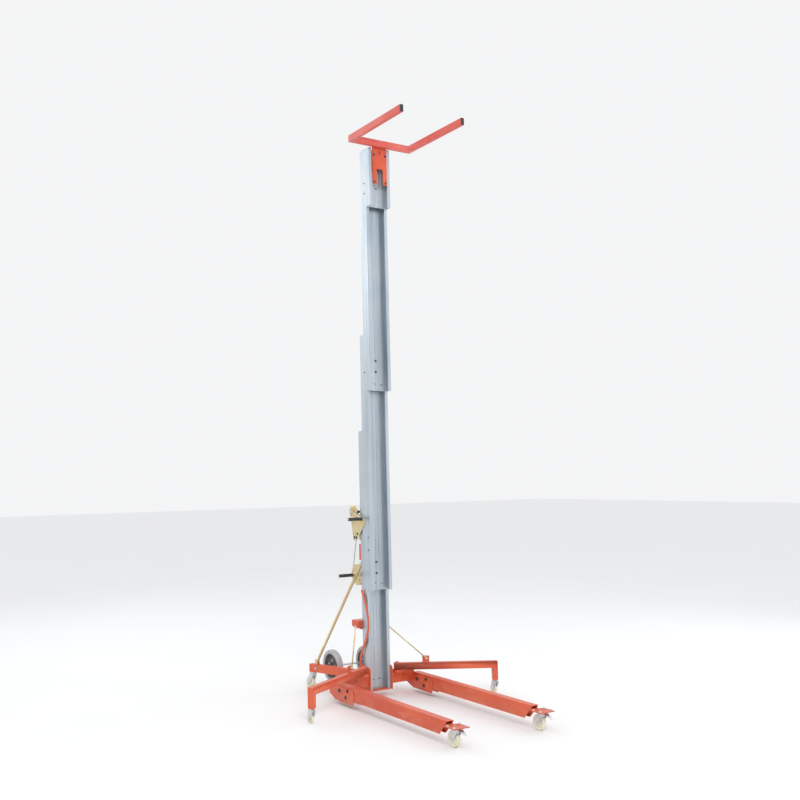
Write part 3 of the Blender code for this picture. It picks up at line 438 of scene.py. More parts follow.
@dataclass(frozen=True)
class Rope(Finish):
    """Laid wire rope: slanting strands with painted shade between them, and patches of grease."""

    lay: float = 260.0

    def shade(self, graph: Graph) -> None:
        """Builds the wire rope.

        Args:
            graph: the material's graph.
        """
        slant = (graph.along(Axis.Z) * self.lay + graph.along(Axis.Y) * (self.lay * 1.6)
                 + graph.along(Axis.X) * self.lay)
        # painted shade mask: 1 in the gaps between strands, 0 on the middle of each strand; it also shapes
        # the relief
        strand_gap_shade = (slant.repeat() - 0.5).size() * 2.0
        wires = ((slant * 5.0).repeat() - 0.5).size() * 2.0
        grease = graph.noise(120.0, 3.0).between(0.42, 0.70)
        # painted shade between the strands, in the rope's second, darker colour
        tone = graph.blend(strand_gap_shade, self.colour, self.worn)
        tone = graph.blend(grease * 0.4, tone, (0.10, 0.09, 0.07, 1.0))
        graph.surface(Base_Color=tone, Metallic=0.9, Roughness=self.roughness + grease * 0.2 + wires * 0.05)
        graph.relief(1.0 - strand_gap_shade + wires * 0.2, 0.6, 0.0006)


ORANGE = Paint("orange_paint", (0.60, 0.074, 0.027, 1.0), (0.70, 0.12, 0.045, 1.0), 0.36)
FORK_RED = Paint("fork_paint", (0.64, 0.085, 0.060, 1.0), (0.72, 0.15, 0.12, 1.0), 0.36)
ALUMINIUM = Extrusion("aluminium", (0.42, 0.49, 0.55, 1.0), (0.54, 0.61, 0.67, 1.0), 0.38)
GOLD_ZINC = Plating("yellow_zinc", (0.66, 0.50, 0.26, 1.0), (0.70, 0.64, 0.40, 1.0), 0.28,
                    (0.62, 0.58, 0.46, 1.0))
BRIGHT_ZINC = Plating("bright_zinc", (0.56, 0.58, 0.59, 1.0), (0.72, 0.74, 0.74, 1.0), 0.26,
                      (0.62, 0.64, 0.70, 1.0))
NYLON = Moulding("nylon", (0.72, 0.68, 0.50, 1.0), (0.80, 0.77, 0.62, 1.0), 0.38, 700.0,
                 (0.34, 0.30, 0.22, 1.0), 0.40)
RUBBER = Moulding("grey_rubber", (0.46, 0.47, 0.50, 1.0), (0.56, 0.57, 0.60, 1.0), 0.72, 800.0,
                  (0.30, 0.28, 0.26, 1.0), 0.45)
BLACK = Moulding("black_plastic", (0.020, 0.020, 0.022, 1.0), (0.045, 0.045, 0.048, 1.0), 0.46, 1000.0,
                 (0.12, 0.11, 0.10, 1.0), 0.25)
DARK_STEEL = Plating("dark_steel", (0.075, 0.075, 0.080, 1.0), (0.14, 0.14, 0.15, 1.0), 0.34,
                     (0.10, 0.09, 0.10, 1.0))
# the rope's second colour is the painted shade between its strands, not wear
WIRE = Rope("wire_rope", (0.50, 0.50, 0.48, 1.0), (0.20, 0.20, 0.19, 1.0), 0.34)
FINISHES: dict[str, Finish] = {finish.slot: finish for finish in (
    ORANGE, FORK_RED, ALUMINIUM, GOLD_ZINC, BRIGHT_ZINC, NYLON, RUBBER, BLACK, DARK_STEEL, WIRE)}


# ------------------------------------------------------------------ the bench: shared ways to make a piece
def corner(node: str, high: bool = False) -> Vector:
    """One corner of a node's box.

    Args:
        node: the node's name.
        high: the highest corner instead of the lowest.

    Returns:
        The corner.
    """
    return Vector(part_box(node)[1 if high else 0])


def middle(node: str) -> Vector:
    """The centre of a node's box."""
    return (corner(node) + corner(node, True)) / 2


def body_of(node: str) -> str:
    """The body that a node belongs to.

    Args:
        node: the node's name.

    Returns:
        The body's name.
    """
    return next(name for name, nodes in frame["record"]["behaviour"]["bodies"].items() if node in nodes)


def slot_of(node: str) -> str:
    """The record's material slot of a node."""
    return next(part["material_slot"] for part in frame["record"]["subparts"] if part["node"] == node)


class Bench:
    """Collects shapes in one mesh and turns them into a finished piece."""

    def __init__(self) -> None:
        """Starts with nothing on the bench."""
        self.bm = bmesh.new()

    def _placed(self, made: dict[str, Any], matrix: Matrix) -> list[bmesh.types.BMVert]:
        """Moves the vertices that an operator made.

        Args:
            made: the operator's result.
            matrix: the place to move them to.

        Returns:
            The vertices.
        """
        verts = [item for item in made["verts"] if isinstance(item, bmesh.types.BMVert)]
        bmesh.ops.transform(self.bm, matrix=matrix, verts=verts)
        return verts

    def _rounded(self, verts: Sequence[bmesh.types.BMVert], radius: float, limit: float = 50.0,
                 segments: int = 2) -> None:
        """Bevels the sharp edges among some vertices.

        Args:
            verts: the vertices.
            radius: the bevel's width.
            limit: the least angle of an edge to be bevelled, in degrees.
            segments: the bevel's segments.
        """
        edges = {edge for vert in verts for edge in vert.link_edges if len(edge.link_faces) == 2}
        sharp = [edge for edge in edges if edge.calc_face_angle(0.0) > math.radians(limit)]
        if radius > 0 and sharp:
            bmesh.ops.bevel(self.bm, geom=sharp, offset=radius, offset_type="OFFSET", affect="EDGES",
                            segments=segments, profile=0.5, material=-1, clamp_overlap=True)

    def round_bar(self, start: Vector, end: Vector, radius: float, sides: int = 32, bevel: float = 0.0006,
                  tip: float | None = None) -> "Bench":
        """A round or many-sided bar between two points.

        Args:
            start: the middle of one end.
            end: the middle of the other.
            radius: its radius.
            sides: its number of sides.
            bevel: the width of the bevel round its ends.
            tip: the radius at the far end, if it tapers.

        Returns:
            The bench.
        """
        start, end = Vector(start), Vector(end)
        turn = (end - start).to_track_quat("Z", "Y").to_matrix().to_4x4()
        made = bmesh.ops.create_cone(self.bm, cap_ends=True, segments=sides, radius1=radius,
                                     radius2=radius if tip is None else tip, depth=(end - start).length)
        verts = self._placed(made, Matrix.Translation((start + end) / 2) @ turn)
        self._rounded(verts, bevel)
        return self

    def slab(self, low: Vector, high: Vector, bevel: float = 0.0008) -> "Bench":
        """A bevelled block between two corners.

        Args:
            low: the lowest corner.
            high: the highest corner.
            bevel: the width of the bevel.

        Returns:
            The bench.
        """
        low, high = Vector(low), Vector(high)
        made = bmesh.ops.create_cube(self.bm, size=1.0)
        size = high - low
        verts = self._placed(made, Matrix.Translation((low + high) / 2) @ Matrix.Diagonal((*size, 1.0)))
        self._rounded(verts, bevel)
        return self

    def turned(self, profile: Sequence[tuple[float, float]], centre: Vector, axis: Axis = Axis.X,
               steps: int = 48) -> "Bench":
        """A closed profile of (place along the axis, radius) spun all the way round.

        Args:
            profile: the profile's points.
            centre: the point that the profile is measured from.
            axis: the axis of the turning.
            steps: the steps in the full turn.

        Returns:
            The bench.
        """
        turn = Matrix.Translation(Vector(centre)) @ axis.turn()
        ring = [self.bm.verts.new(turn @ Vector((r, 0.0, x))) for x, r in profile]
        edges = [self.bm.edges.new(pair) for pair in zip(ring, ring[1:] + ring[:1])]
        bmesh.ops.spin(self.bm, geom=[*ring, *edges], cent=Vector(centre), axis=Vector(axis.value),
                       angle=2 * math.pi, steps=steps, use_merge=True)
        return self

    def toothed(self, centre: Vector, root: float, tip: float, teeth: int, width: float) -> "Bench":
        """A spur gear facing along X.

        Args:
            centre: its middle.
            root: the radius at the foot of a tooth.
            tip: the radius at the top of a tooth.
            teeth: how many teeth.
            width: its thickness.

        Returns:
            The bench.
        """
        made = bmesh.ops.create_circle(self.bm, cap_ends=True, segments=teeth * 4, radius=root)
        verts = made["verts"]
        for index, vert in enumerate(verts):
            if index % 4 in (0, 1):
                vert.co *= tip / root
        face = verts[0].link_faces[0]
        grown = bmesh.ops.extrude_face_region(self.bm, geom=[face])["geom"]
        moved = [item for item in grown if isinstance(item, bmesh.types.BMVert)]
        bmesh.ops.translate(self.bm, vec=(0, 0, width), verts=moved)
        place = Matrix.Translation(Vector(centre) - Vector((width / 2, 0, 0))) @ Axis.X.turn()
        bmesh.ops.transform(self.bm, matrix=place, verts=list({*verts, *moved}))
        return self

    def windings(self, centre: Vector, radius: float, thickness: float, turns: int) -> "Bench":
        """A helix of rope wound side by side on a drum along X.

        Args:
            centre: the middle of the winding.
            radius: the distance from the axis to the rope's middle.
            thickness: the rope's diameter.
            turns: how many turns.

        Returns:
            The bench.
        """
        run = turns * thickness * 1.02
        first = Vector(centre) + Vector((-run / 2, 0.0, radius))
        made = bmesh.ops.create_circle(self.bm, cap_ends=False, segments=8, radius=thickness / 2)
        ring = made["verts"]
        bmesh.ops.transform(self.bm, matrix=Matrix.Translation(first) @ Axis.Y.turn(), verts=ring)
        steps = turns * 28
        edges = list({edge for vert in ring for edge in vert.link_edges})
        bmesh.ops.spin(self.bm, geom=[*ring, *edges], cent=Vector(centre), axis=(1, 0, 0),
                       angle=2 * math.pi * turns, steps=steps, dvec=(run / steps, 0, 0), use_merge=False)
        bmesh.ops.holes_fill(self.bm, edges=[edge for edge in self.bm.edges if edge.is_boundary], sides=0)
        return self

    def bolt(self, place: Vector, axis: Axis, outward: float, across: float = 0.013,
             washer: bool = True) -> "Bench":
        """A hexagon head on a washer, standing on a surface.

        Args:
            place: the point on the surface.
            axis: the bolt's axis.
            outward: +1 or -1, the way the head faces along the axis.
            across: the head's width.
            washer: whether there is a washer under it.

        Returns:
            The bench.
        """
        out = Vector(axis.value) * outward
        place = Vector(place)
        base = 0.0
        if washer:
            base = across * 0.11
            self.round_bar(place - out * 0.001, place + out * base, across * 0.86, 28, across * 0.03)
        top = base + across * 0.42
        self.round_bar(place + out * (base - 0.0003), place + out * top, across * 0.57, 6, across * 0.05)
        self.round_bar(place + out * (top - 0.0003), place + out * (top + across * 0.07), across * 0.36, 20,
                       across * 0.04)
        return self

    def button(self, place: Vector, axis: Axis, outward: float, radius: float = 0.006,
               height: float = 0.0030) -> "Bench":
        """A low domed rivet or screw head with a socket ring.

        Args:
            place: the point on the surface.
            axis: the head's axis.
            outward: +1 or -1.
            radius: the head's radius.
            height: how far it stands out.

        Returns:
            The bench.
        """
        out = outward
        profile = [(-0.0005 * out, 0.0001), (-0.0005 * out, radius), (height * 0.35 * out, radius),
                   (height * 0.75 * out, radius * 0.80), (height * out, radius * 0.50),
                   (height * out, radius * 0.34), (height * 0.45 * out, radius * 0.30),
                   (height * 0.45 * out, 0.0001)]
        return self.turned(profile, place, axis, 24)

    def weld(self, start: Vector, end: Vector, size: float = 0.0030) -> "Bench":
        """A rippled fillet bead between two points.

        Args:
            start: one end.
            end: the other end.
            size: the bead's radius.

        Returns:
            The bench.
        """
        start, end = Vector(start), Vector(end)
        length = (end - start).length
        ripples = max(4, int(length / (size * 0.9)))
        turn = (end - start).to_track_quat("Z", "Y").to_matrix().to_4x4()
        made = bmesh.ops.create_circle(self.bm, cap_ends=True, segments=8, radius=size * 0.75)
        face = made["verts"][0].link_faces[0]
        bmesh.ops.transform(self.bm, matrix=Matrix.Translation(start) @ turn, verts=made["verts"])
        step = (end - start) / ripples
        for index in range(ripples):
            grown = bmesh.ops.extrude_face_region(self.bm, geom=[face])["geom"]
            verts = [item for item in grown if isinstance(item, bmesh.types.BMVert)]
            kept = next(item for item in grown if isinstance(item, bmesh.types.BMFace))
            bmesh.ops.translate(self.bm, vec=step, verts=verts)
            swell = 1.22 if index % 2 == 0 else 1.0 / 1.22
            centre = start + step * (index + 1)
            bmesh.ops.scale(self.bm, vec=(swell, swell, swell),
                            space=Matrix.Translation(-centre), verts=verts)
            if index and face.is_valid:
                bmesh.ops.delete(self.bm, geom=[face], context="FACES_ONLY")
            face = kept
        return self

    def piece(self, name: str, finish: Finish, body: str, replaces: Sequence[str] = (),
              angle: float = 40.0) -> bpy.types.Object:
        """Makes the finished object.

        Args:
            name: the piece's name.
            finish: its finish.
            body: the body that it rides on.
            replaces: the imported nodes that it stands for.
            angle: edges sharper than this stay sharp in the shading, in degrees.

        Returns:
            The object.
        """
        bmesh.ops.remove_doubles(self.bm, verts=self.bm.verts, dist=0.000002)
        bmesh.ops.recalc_face_normals(self.bm, faces=self.bm.faces)
        mesh = bpy.data.meshes.new(name)
        self.bm.to_mesh(mesh)
        self.bm.free()
        mesh.materials.append(finish.material())
        mesh.shade_smooth()
        mesh.set_sharp_from_angle(angle=math.radians(angle))
        made = bpy.data.objects.new(name, mesh)
        bpy.context.collection.objects.link(made)
        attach(made, body)
        if replaces:
            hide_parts(*replaces)
        LOG.info("%s: %d faces on %s", name, len(mesh.polygons), body)
        return made


def softened(node: str, radius: float, segments: int = 2) -> bpy.types.Object:
    """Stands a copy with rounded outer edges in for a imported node.

    Inner corners stay sharp, so that nothing grows into a neighbour's clearance.

    Args:
        node: the node's name.
        radius: the width of the rounding.
        segments: its segments.

    Returns:
        The copy.
    """
    source = frame["nodes"][node]
    merge = 0.00015 if node.startswith("stabilizer_arm") else 0.00002
    bm = bmesh.new()
    bm.from_mesh(source.data)
    bmesh.ops.remove_doubles(bm, verts=bm.verts, dist=merge)
    bmesh.ops.dissolve_limit(bm, angle_limit=math.radians(0.05), verts=bm.verts, edges=bm.edges)
    bmesh.ops.triangulate(bm, faces=[face for face in bm.faces if len(face.verts) > 4])
    bmesh.ops.recalc_face_normals(bm, faces=bm.faces)
    weight = bm.edges.layers.float.new("bevel_weight_edge")
    for edge in bm.edges:
        if len(edge.link_faces) == 2 and edge.calc_face_angle_signed(0.0) > math.radians(42):
            edge[weight] = 1.0
    mesh = bpy.data.meshes.new(node + "_round")
    bm.to_mesh(mesh)
    bm.free()
    finish = FINISHES[slot_of(node)]
    mesh.materials.clear()
    mesh.materials.append(finish.material())
    mesh.shade_smooth()
    mesh.set_sharp_from_angle(angle=math.radians(40))
    made = bpy.data.objects.new(node + "_round", mesh)
    bpy.context.collection.objects.link(made)
    rounding = made.modifiers.new("edges", "BEVEL")
    rounding.width = radius
    rounding.segments = segments
    rounding.limit_method = "WEIGHT"
    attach(made, body_of(node))
    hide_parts(node)
    LOG.info("%s: edges rounded", node)
    return made


def dress(node: str) -> None:
    """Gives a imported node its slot's finish.

    Args:
        node: the node's name.
    """
    thing = frame["nodes"][node]
    material = FINISHES[slot_of(node)].material()
    for holder in thing.material_slots:
        holder.material = material
    LOG.info("%s: dressed in %s", node, material.name)


class Assembly:
    """A group of pieces that is built, then dressed."""

    rounded: dict[str, float] = {}
    kept: tuple[str, ...] = ()

    def build(self) -> None:
        """Makes the pieces."""

    def finish(self) -> None:
        """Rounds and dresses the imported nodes."""
        for node, radius in self.rounded.items():
            softened(node, radius)
        for node in self.kept:
            dress(node)


# ------------------------------------------------------------------ mast
@dataclass
class Mast(Assembly):
    """The three columns and the carriage, with their screws and head pulleys."""

    screw: float = 0.0088
    web_depth: float = 0.0437
    rib: float = 0.0025
    pulley_radius: float = 0.040
    rounded: dict[str, float] = field(default_factory=lambda: {
        "column_1": 0.0007, "column_2": 0.0007, "column_3": 0.0007, "carriage": 0.0007,
        "pulley_bracket_1": 0.0005, "pulley_bracket_2": 0.0005})
    kept: tuple[str, ...] = ("cable_fall", "lift_cable")

    def build(self) -> None:
        """Adds the web screws, side screws and turned pulleys."""
        rows = {"column_3": (0.145, 0.230), "column_2": (0.125, 0.208)}
        for column, heights in rows.items():
            low = corner(column)
            bench = Bench()
            for height in heights:
                bench.button((-0.014, low.y + self.seat(-0.014), low.z + height), Axis.Y, -1.0, self.screw)
            bench.piece(column + "_web_screws", DARK_STEEL, body_of(column))
            bench = Bench()
            for x, height in ((-0.028, 0.052), (0.028, 0.046), (0.042, 0.048)):
                bench.button((x, low.y + self.seat(x), low.z + height), Axis.Y, -1.0, 0.0042, 0.0020)
            bench.piece(column + "_stop_screws", DARK_STEEL, body_of(column))
        low = corner("column_1")
        bench = Bench()
        for x, height in ((-0.028, 0.070), (0.014, 0.072), (0.028, 0.072)):
            bench.button((x, low.y + self.seat(x), low.z + height), Axis.Y, -1.0, 0.0048, 0.0022)
        bench.piece("column_1_foot_screws", DARK_STEEL, body_of("column_1"))
        self.side_screws()
        for number in (1, 2):
            self.pulley(f"head_pulley_{number}")

    def seat(self, x: float) -> float:
        """How far behind a column's front face its web or the rib on it lies.

        Args:
            x: the place across the column.

        Returns:
            The depth in metres.
        """
        on_rib = 0.009 <= abs(x) <= 0.019 or 0.037 <= abs(x) <= 0.047
        return self.web_depth - (self.rib if on_rib else 0.0)

    def side_screws(self) -> None:
        """Adds the low screw heads on the columns' flanks."""
        for column, heights in {"column_2": (0.300, 0.395, 1.640), "column_3": (1.520, 1.600)}.items():
            low, high = corner(column), corner(column, True)
            bench = Bench()
            for height in heights:
                bench.button((low.x, low.y + 0.025, low.z + height), Axis.X, -1.0, 0.0065, 0.0026)
                bench.button((high.x, low.y + 0.025, low.z + height), Axis.X, 1.0, 0.0065, 0.0026)
            bench.piece(column + "_side_screws", DARK_STEEL, body_of(column))

    def pulley(self, node: str) -> None:
        """A grooved pulley with lightening dishes.

        Args:
            node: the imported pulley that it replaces.
        """
        rim = self.pulley_radius
        half = [(-0.012, 0.0063), (-0.012, 0.014), (-0.0075, 0.017), (-0.0075, rim - 0.012),
                (-0.0118, rim - 0.008), (-0.012, rim - 0.001), (-0.011, rim), (-0.008, rim),
                (-0.006, rim - 0.003), (-0.0025, rim - 0.006)]
        mirror = [(-x, r) for x, r in reversed(half)]
        Bench().turned([*half, *mirror], middle(node)).piece(node + "_turned", NYLON, body_of(node), [node])


# ------------------------------------------------------------------ base
@dataclass
class Base(Assembly):
    """The welded frame, knuckles, legs and rear arms."""

    bolt_size: float = 0.019
    rounded: dict[str, float] = field(default_factory=lambda: {
        "base_frame": 0.0010, "knuckle_left": 0.0008, "knuckle_right": 0.0008, "leg_left": 0.0016,
        "leg_right": 0.0016, "rear_arm_left": 0.0030, "rear_arm_right": 0.0030, "brace_bracket": 0.0010,
        "hold_down_bar": 0.0010, "leg_pivot_bolt_left": 0.0008, "leg_pivot_bolt_right": 0.0008})

    def build(self) -> None:
        """Adds bolts, weld beads and caster screws."""
        datum = corner("column_1").y
        for name, side in SIDES.items():
            low, high = corner(f"knuckle_{name}"), corner(f"knuckle_{name}", True)
            centre = (low.x + high.x) / 2
            bench = Bench()
            for flank in (-1.0, 1.0):
                face = centre + flank * 0.0336
                for y, z in ((-0.145, 0.118), (-0.118, 0.068)):
                    bench.bolt((face, datum + y, z), Axis.X, flank, self.bolt_size * 0.8)
            bench.piece(f"knuckle_bolts_{name}", DARK_STEEL, body_of(f"knuckle_{name}"))
            self.caster_screws(name)
            self.welds(name, side, datum)
        self.socket_bolts(datum)

    def caster_screws(self, name: str) -> None:
        """Adds the four screws of a front caster plate.

        Args:
            name: the side.
        """
        low, high = corner(f"leg_{name}"), corner(f"leg_{name}", True)
        top = 0.1283
        bench = Bench()
        for x in (low.x + 0.014, high.x - 0.014):
            for y in (low.y + 0.020, low.y + 0.080):
                bench.bolt((x, y, top), Axis.Z, 1.0, 0.013)
        bench.piece(f"caster_plate_screws_{name}", BRIGHT_ZINC, body_of(f"leg_{name}"))
        bench = Bench()
        for x in (low.x + 0.033, high.x - 0.033):
            bench.weld((x, low.y + 0.052, top + 0.001), (x, low.y + 0.098, top + 0.001), 0.0022)
        bench.piece(f"caster_plate_welds_{name}", ORANGE, body_of(f"leg_{name}"))

    def welds(self, name: str, side: float, datum: float) -> None:
        """Adds the beads along the beam's joints and the rear arm's root.

        Args:
            name: the side.
            side: -1 or 1.
            datum: the front face of the fixed column.
        """
        bench = Bench()
        for x in (side * 0.1013, side * 0.3138):
            bench.weld((x, datum + 0.004, 0.092), (x, datum + 0.004, 0.166), 0.0026)
            bench.weld((x, datum + 0.008, 0.170), (x, datum + 0.060, 0.170), 0.0026)
        bench.weld((side * 0.112, datum + 0.0655, 0.2000), (side * 0.146, datum + 0.0655, 0.2000), 0.0020)
        bench.piece(f"frame_welds_{name}", ORANGE, "base")

    def socket_bolts(self, datum: float) -> None:
        """Adds the bolts that clamp the mast in its socket.

        Args:
            datum: the front face of the fixed column.
        """
        bench = Bench()
        for side in SIDES.values():
            for y, z in ((0.020, 0.205), (0.060, 0.205), (-0.006, 0.070)):
                bench.button((side * 0.1013, datum + y, z), Axis.X, side, 0.0042, 0.0019)
            bench.bolt((side * 0.215, datum + 0.0037, 0.140), Axis.Y, -1.0, 0.010, False)
        bench.piece("socket_bolts", DARK_STEEL, "base")


# ------------------------------------------------------------------ casters
class CasterKind(Enum):
    """The three casters: wheel radius, wheel width, and whether there is a brake."""

    FRONT = ("front_caster", 0.050, 0.030, True)
    REAR = ("rear_caster", 0.050, 0.030, False)
    SMALL = ("stabilizer_caster", 0.030, 0.020, False)


@dataclass
class Caster(Assembly):
    """One swivel caster: yoke, ball race, wheel, axle nuts and brake pedal."""

    kind: CasterKind
    side: str
    seat: float = 0.0063

    def build(self) -> None:
        """Makes the wheel, the race and the nuts."""
        prefix, radius, width, brake = self.kind.value
        wheel, yoke = f"{prefix}_wheel_{self.side}", f"{prefix}_yoke_{self.side}"
        centre = middle(wheel)
        half = width / 2
        profile = [(-half, self.seat), (-half, radius * 0.30), (-half * 0.84, radius * 0.33),
                   (-half * 0.84, radius * 0.40),
                   (-half, radius * 0.44), (-half * 0.92, radius * 0.50), (-half * 0.62, radius * 0.56),
                   (-half * 0.60, radius * 0.70), (-half * 0.84, radius * 0.78),
                   (-half * 0.98, radius * 0.84), (-half * 0.94, radius * 0.93),
                   (-half * 0.72, radius * 0.985), (-half * 0.35, radius)]
        mirror = [(-x, r) for x, r in reversed(profile)]
        bench = Bench().turned([*profile, *mirror], centre, Axis.X, 56)
        bench.piece(wheel + "_turned", NYLON, body_of(wheel), [wheel])
        self.spokes(wheel, centre, half, radius)
        reach = half + 0.0045
        bench = Bench()
        nut = 0.0062 if radius < 0.04 else 0.011
        for flank in (-1.0, 1.0):
            bench.bolt((centre.x + flank * reach, centre.y, centre.z), Axis.X, flank, nut)
        bench.piece(f"{prefix}_axle_nuts_{self.side}", BRIGHT_ZINC, body_of(yoke))
        self.race(yoke, prefix, radius)
        softened(yoke, 0.0006)
        if brake:
            softened(f"{prefix}_brake_{self.side}", 0.0008)

    def spokes(self, wheel: str, centre: Vector, half: float, radius: float) -> None:
        """Adds the ribs moulded across the wheel's dished face.

        Args:
            wheel: the wheel's node.
            centre: its middle.
            half: half its width.
            radius: its radius.
        """
        bench = Bench()
        for step in range(8):
            angle = step * math.pi / 4
            out = Vector((0.0, math.cos(angle), math.sin(angle)))
            for flank in (-1.0, 1.0):
                face = centre + Vector((flank * half * 0.64, 0.0, 0.0))
                inner, outer = face + out * radius * 0.48, face + out * radius * 0.77
                bench.round_bar(inner, outer, radius * 0.030, 8, 0.0)
        bench.piece(wheel + "_ribs", NYLON, body_of(wheel))

    def race(self, yoke: str, prefix: str, radius: float) -> None:
        """Adds the pressed ball race at the top of the yoke.

        Args:
            yoke: the yoke's node.
            prefix: the caster's name.
            radius: the wheel's radius.
        """
        top = corner(yoke, True).z
        place = frame_pivot(f"{prefix}_{self.side}_swivel")
        wide = 0.0215 if radius > 0.04 else 0.0170
        profile = [(-0.0060, 0.006), (-0.0060, wide), (-0.0050, wide + 0.0020), (-0.0036, wide + 0.0004),
                   (-0.0022, wide + 0.0020), (-0.0006, wide), (-0.0006, 0.006)]
        Bench().turned(profile, Vector((place.x, place.y, top)), Axis.Z, 40).piece(
            yoke + "_race", DARK_STEEL, body_of(yoke))


def frame_pivot(joint: str) -> Vector:
    """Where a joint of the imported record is.

    Args:
        joint: the joint's name.

    Returns:
        Its position.
    """
    return Vector(next(j["pos_m"] for j in frame["record"]["behaviour"]["joints"] if j["name"] == joint))


# ------------------------------------------------------------------ stabilizers and braces
@dataclass
class Stabilizers(Assembly):
    """The swing-out arms, their braces, and the rear braces."""

    rounded: dict[str, float] = field(default_factory=lambda: {
        "stabilizer_arm_left": 0.0020, "stabilizer_arm_right": 0.0020,
        "rear_brace_left": 0.0008, "rear_brace_right": 0.0008,
        "stabilizer_brace_left": 0.0005, "stabilizer_brace_right": 0.0005})

    def build(self) -> None:
        """Adds the root washers and the brace-foot screws."""
        for name in SIDES:
            root = frame_pivot(f"stabilizer_{name}_swing")
            bench = Bench()
            profile = [(0.0003, 0.0155), (0.0003, 0.0190), (0.0012, 0.0192), (0.0022, 0.0185),
                       (0.0022, 0.0155)]
            bench.turned(profile, Vector((root.x, root.y, 0.2370)), Axis.Z, 36)
            bench.piece(f"stabilizer_washer_{name}", BRIGHT_ZINC, f"stabilizer_{name}_body")
            foot = corner(f"rear_brace_{name}")
            high = corner(f"rear_brace_{name}", True)
            outer = high.x if name == "right" else foot.x
            inward = -1.0 if name == "right" else 1.0
            place = Vector((outer + inward * 0.012, high.y - 0.016, 0.2030))
            bench = Bench()
            bench.bolt(place + Vector((0.0, 0.016, 0.012)), Axis.Y, 1.0, 0.010)
            bench.piece(f"rear_brace_bolt_{name}", DARK_STEEL, "base")


# ------------------------------------------------------------------ transport wheels
@dataclass
class TransportWheels(Assembly):
    """The two big wheels: ribbed tyre, dished hub, bearing cap and hub nuts."""

    radius: float = 0.125
    section: float = 0.024
    seat: float = 0.0943
    rounded: dict[str, float] = field(default_factory=dict)
    kept: tuple[str, ...] = ("transport_axle",)

    def build(self) -> None:
        """Makes both wheels."""
        for name in SIDES:
            self.tyre(name)
            self.hub(name)

    def tyre(self, name: str) -> None:
        """A tyre with circular grooves and a beaded foot.

        Args:
            name: the side.
        """
        node = f"transport_tyre_{name}"
        rim, low, half = self.radius, self.seat, self.section
        side = [(-0.018, low), (-0.0205, low + 0.001), (-half * 0.96, low + 0.006), (-half, low + 0.011),
                (-half * 0.985, low + 0.017), (-half * 0.90, low + 0.024), (-half * 0.74, rim - 0.0022),
                (-half * 0.60, rim - 0.0008), (-half * 0.56, rim - 0.0034), (-half * 0.46, rim - 0.0034),
                (-half * 0.42, rim - 0.0002), (-half * 0.12, rim), (-half * 0.08, rim - 0.0034),
                (0.0, rim - 0.0034)]
        mirror = [(-x, r) for x, r in reversed(side[:-1])]
        bench = Bench().turned([*side, *mirror], middle(node), Axis.X, 72)
        bench.piece(node + "_moulded", RUBBER, body_of(node), [node])
        bench = Bench()
        centre = middle(node)
        for step in range(36):
            angle = step * math.pi / 18
            out = Vector((0.0, math.cos(angle), math.sin(angle)))
            for flank in (-1.0, 1.0):
                start = centre + out * (rim - 0.0105) + Vector((flank * half * 0.93, 0.0, 0.0))
                end = centre + out * (rim - 0.0030) + Vector((flank * half * 0.74, 0.0, 0.0))
                bench.round_bar(start, end, 0.0022, 6, 0.0)
        bench.piece(node + "_shoulder_lugs", RUBBER, body_of(node))

    def hub(self, name: str) -> None:
        """A dished hub with a bearing cap and five nuts.

        Args:
            name: the side.
        """
        node = f"transport_hub_{name}"
        centre = middle(node)
        half = [(-0.024, 0.0083), (-0.024, 0.020), (-0.022, 0.024), (-0.010, 0.028), (-0.0072, 0.034),
                (-0.0060, 0.048), (-0.0085, 0.060), (-0.0060, 0.070), (-0.0060, 0.078), (-0.0150, 0.086),
                (-0.0178, 0.090), (-0.0180, 0.0938), (0.0, 0.0938)]
        mirror = [(-x, r) for x, r in reversed(half[:-1])]
        bench = Bench().turned([*half, *mirror], centre, Axis.X, 60)
        bench.piece(node + "_pressed", DARK_STEEL, body_of(node), [node])
        bench = Bench()
        for flank in (-1.0, 1.0):
            for step in range(5):
                angle = step * 2 * math.pi / 5 + 0.3
                place = centre + Vector((flank * 0.0066, 0.042 * math.cos(angle), 0.042 * math.sin(angle)))
                bench.bolt(place, Axis.X, flank, 0.010)
        bench.piece(f"hub_nuts_{name}", BRIGHT_ZINC, body_of(node))


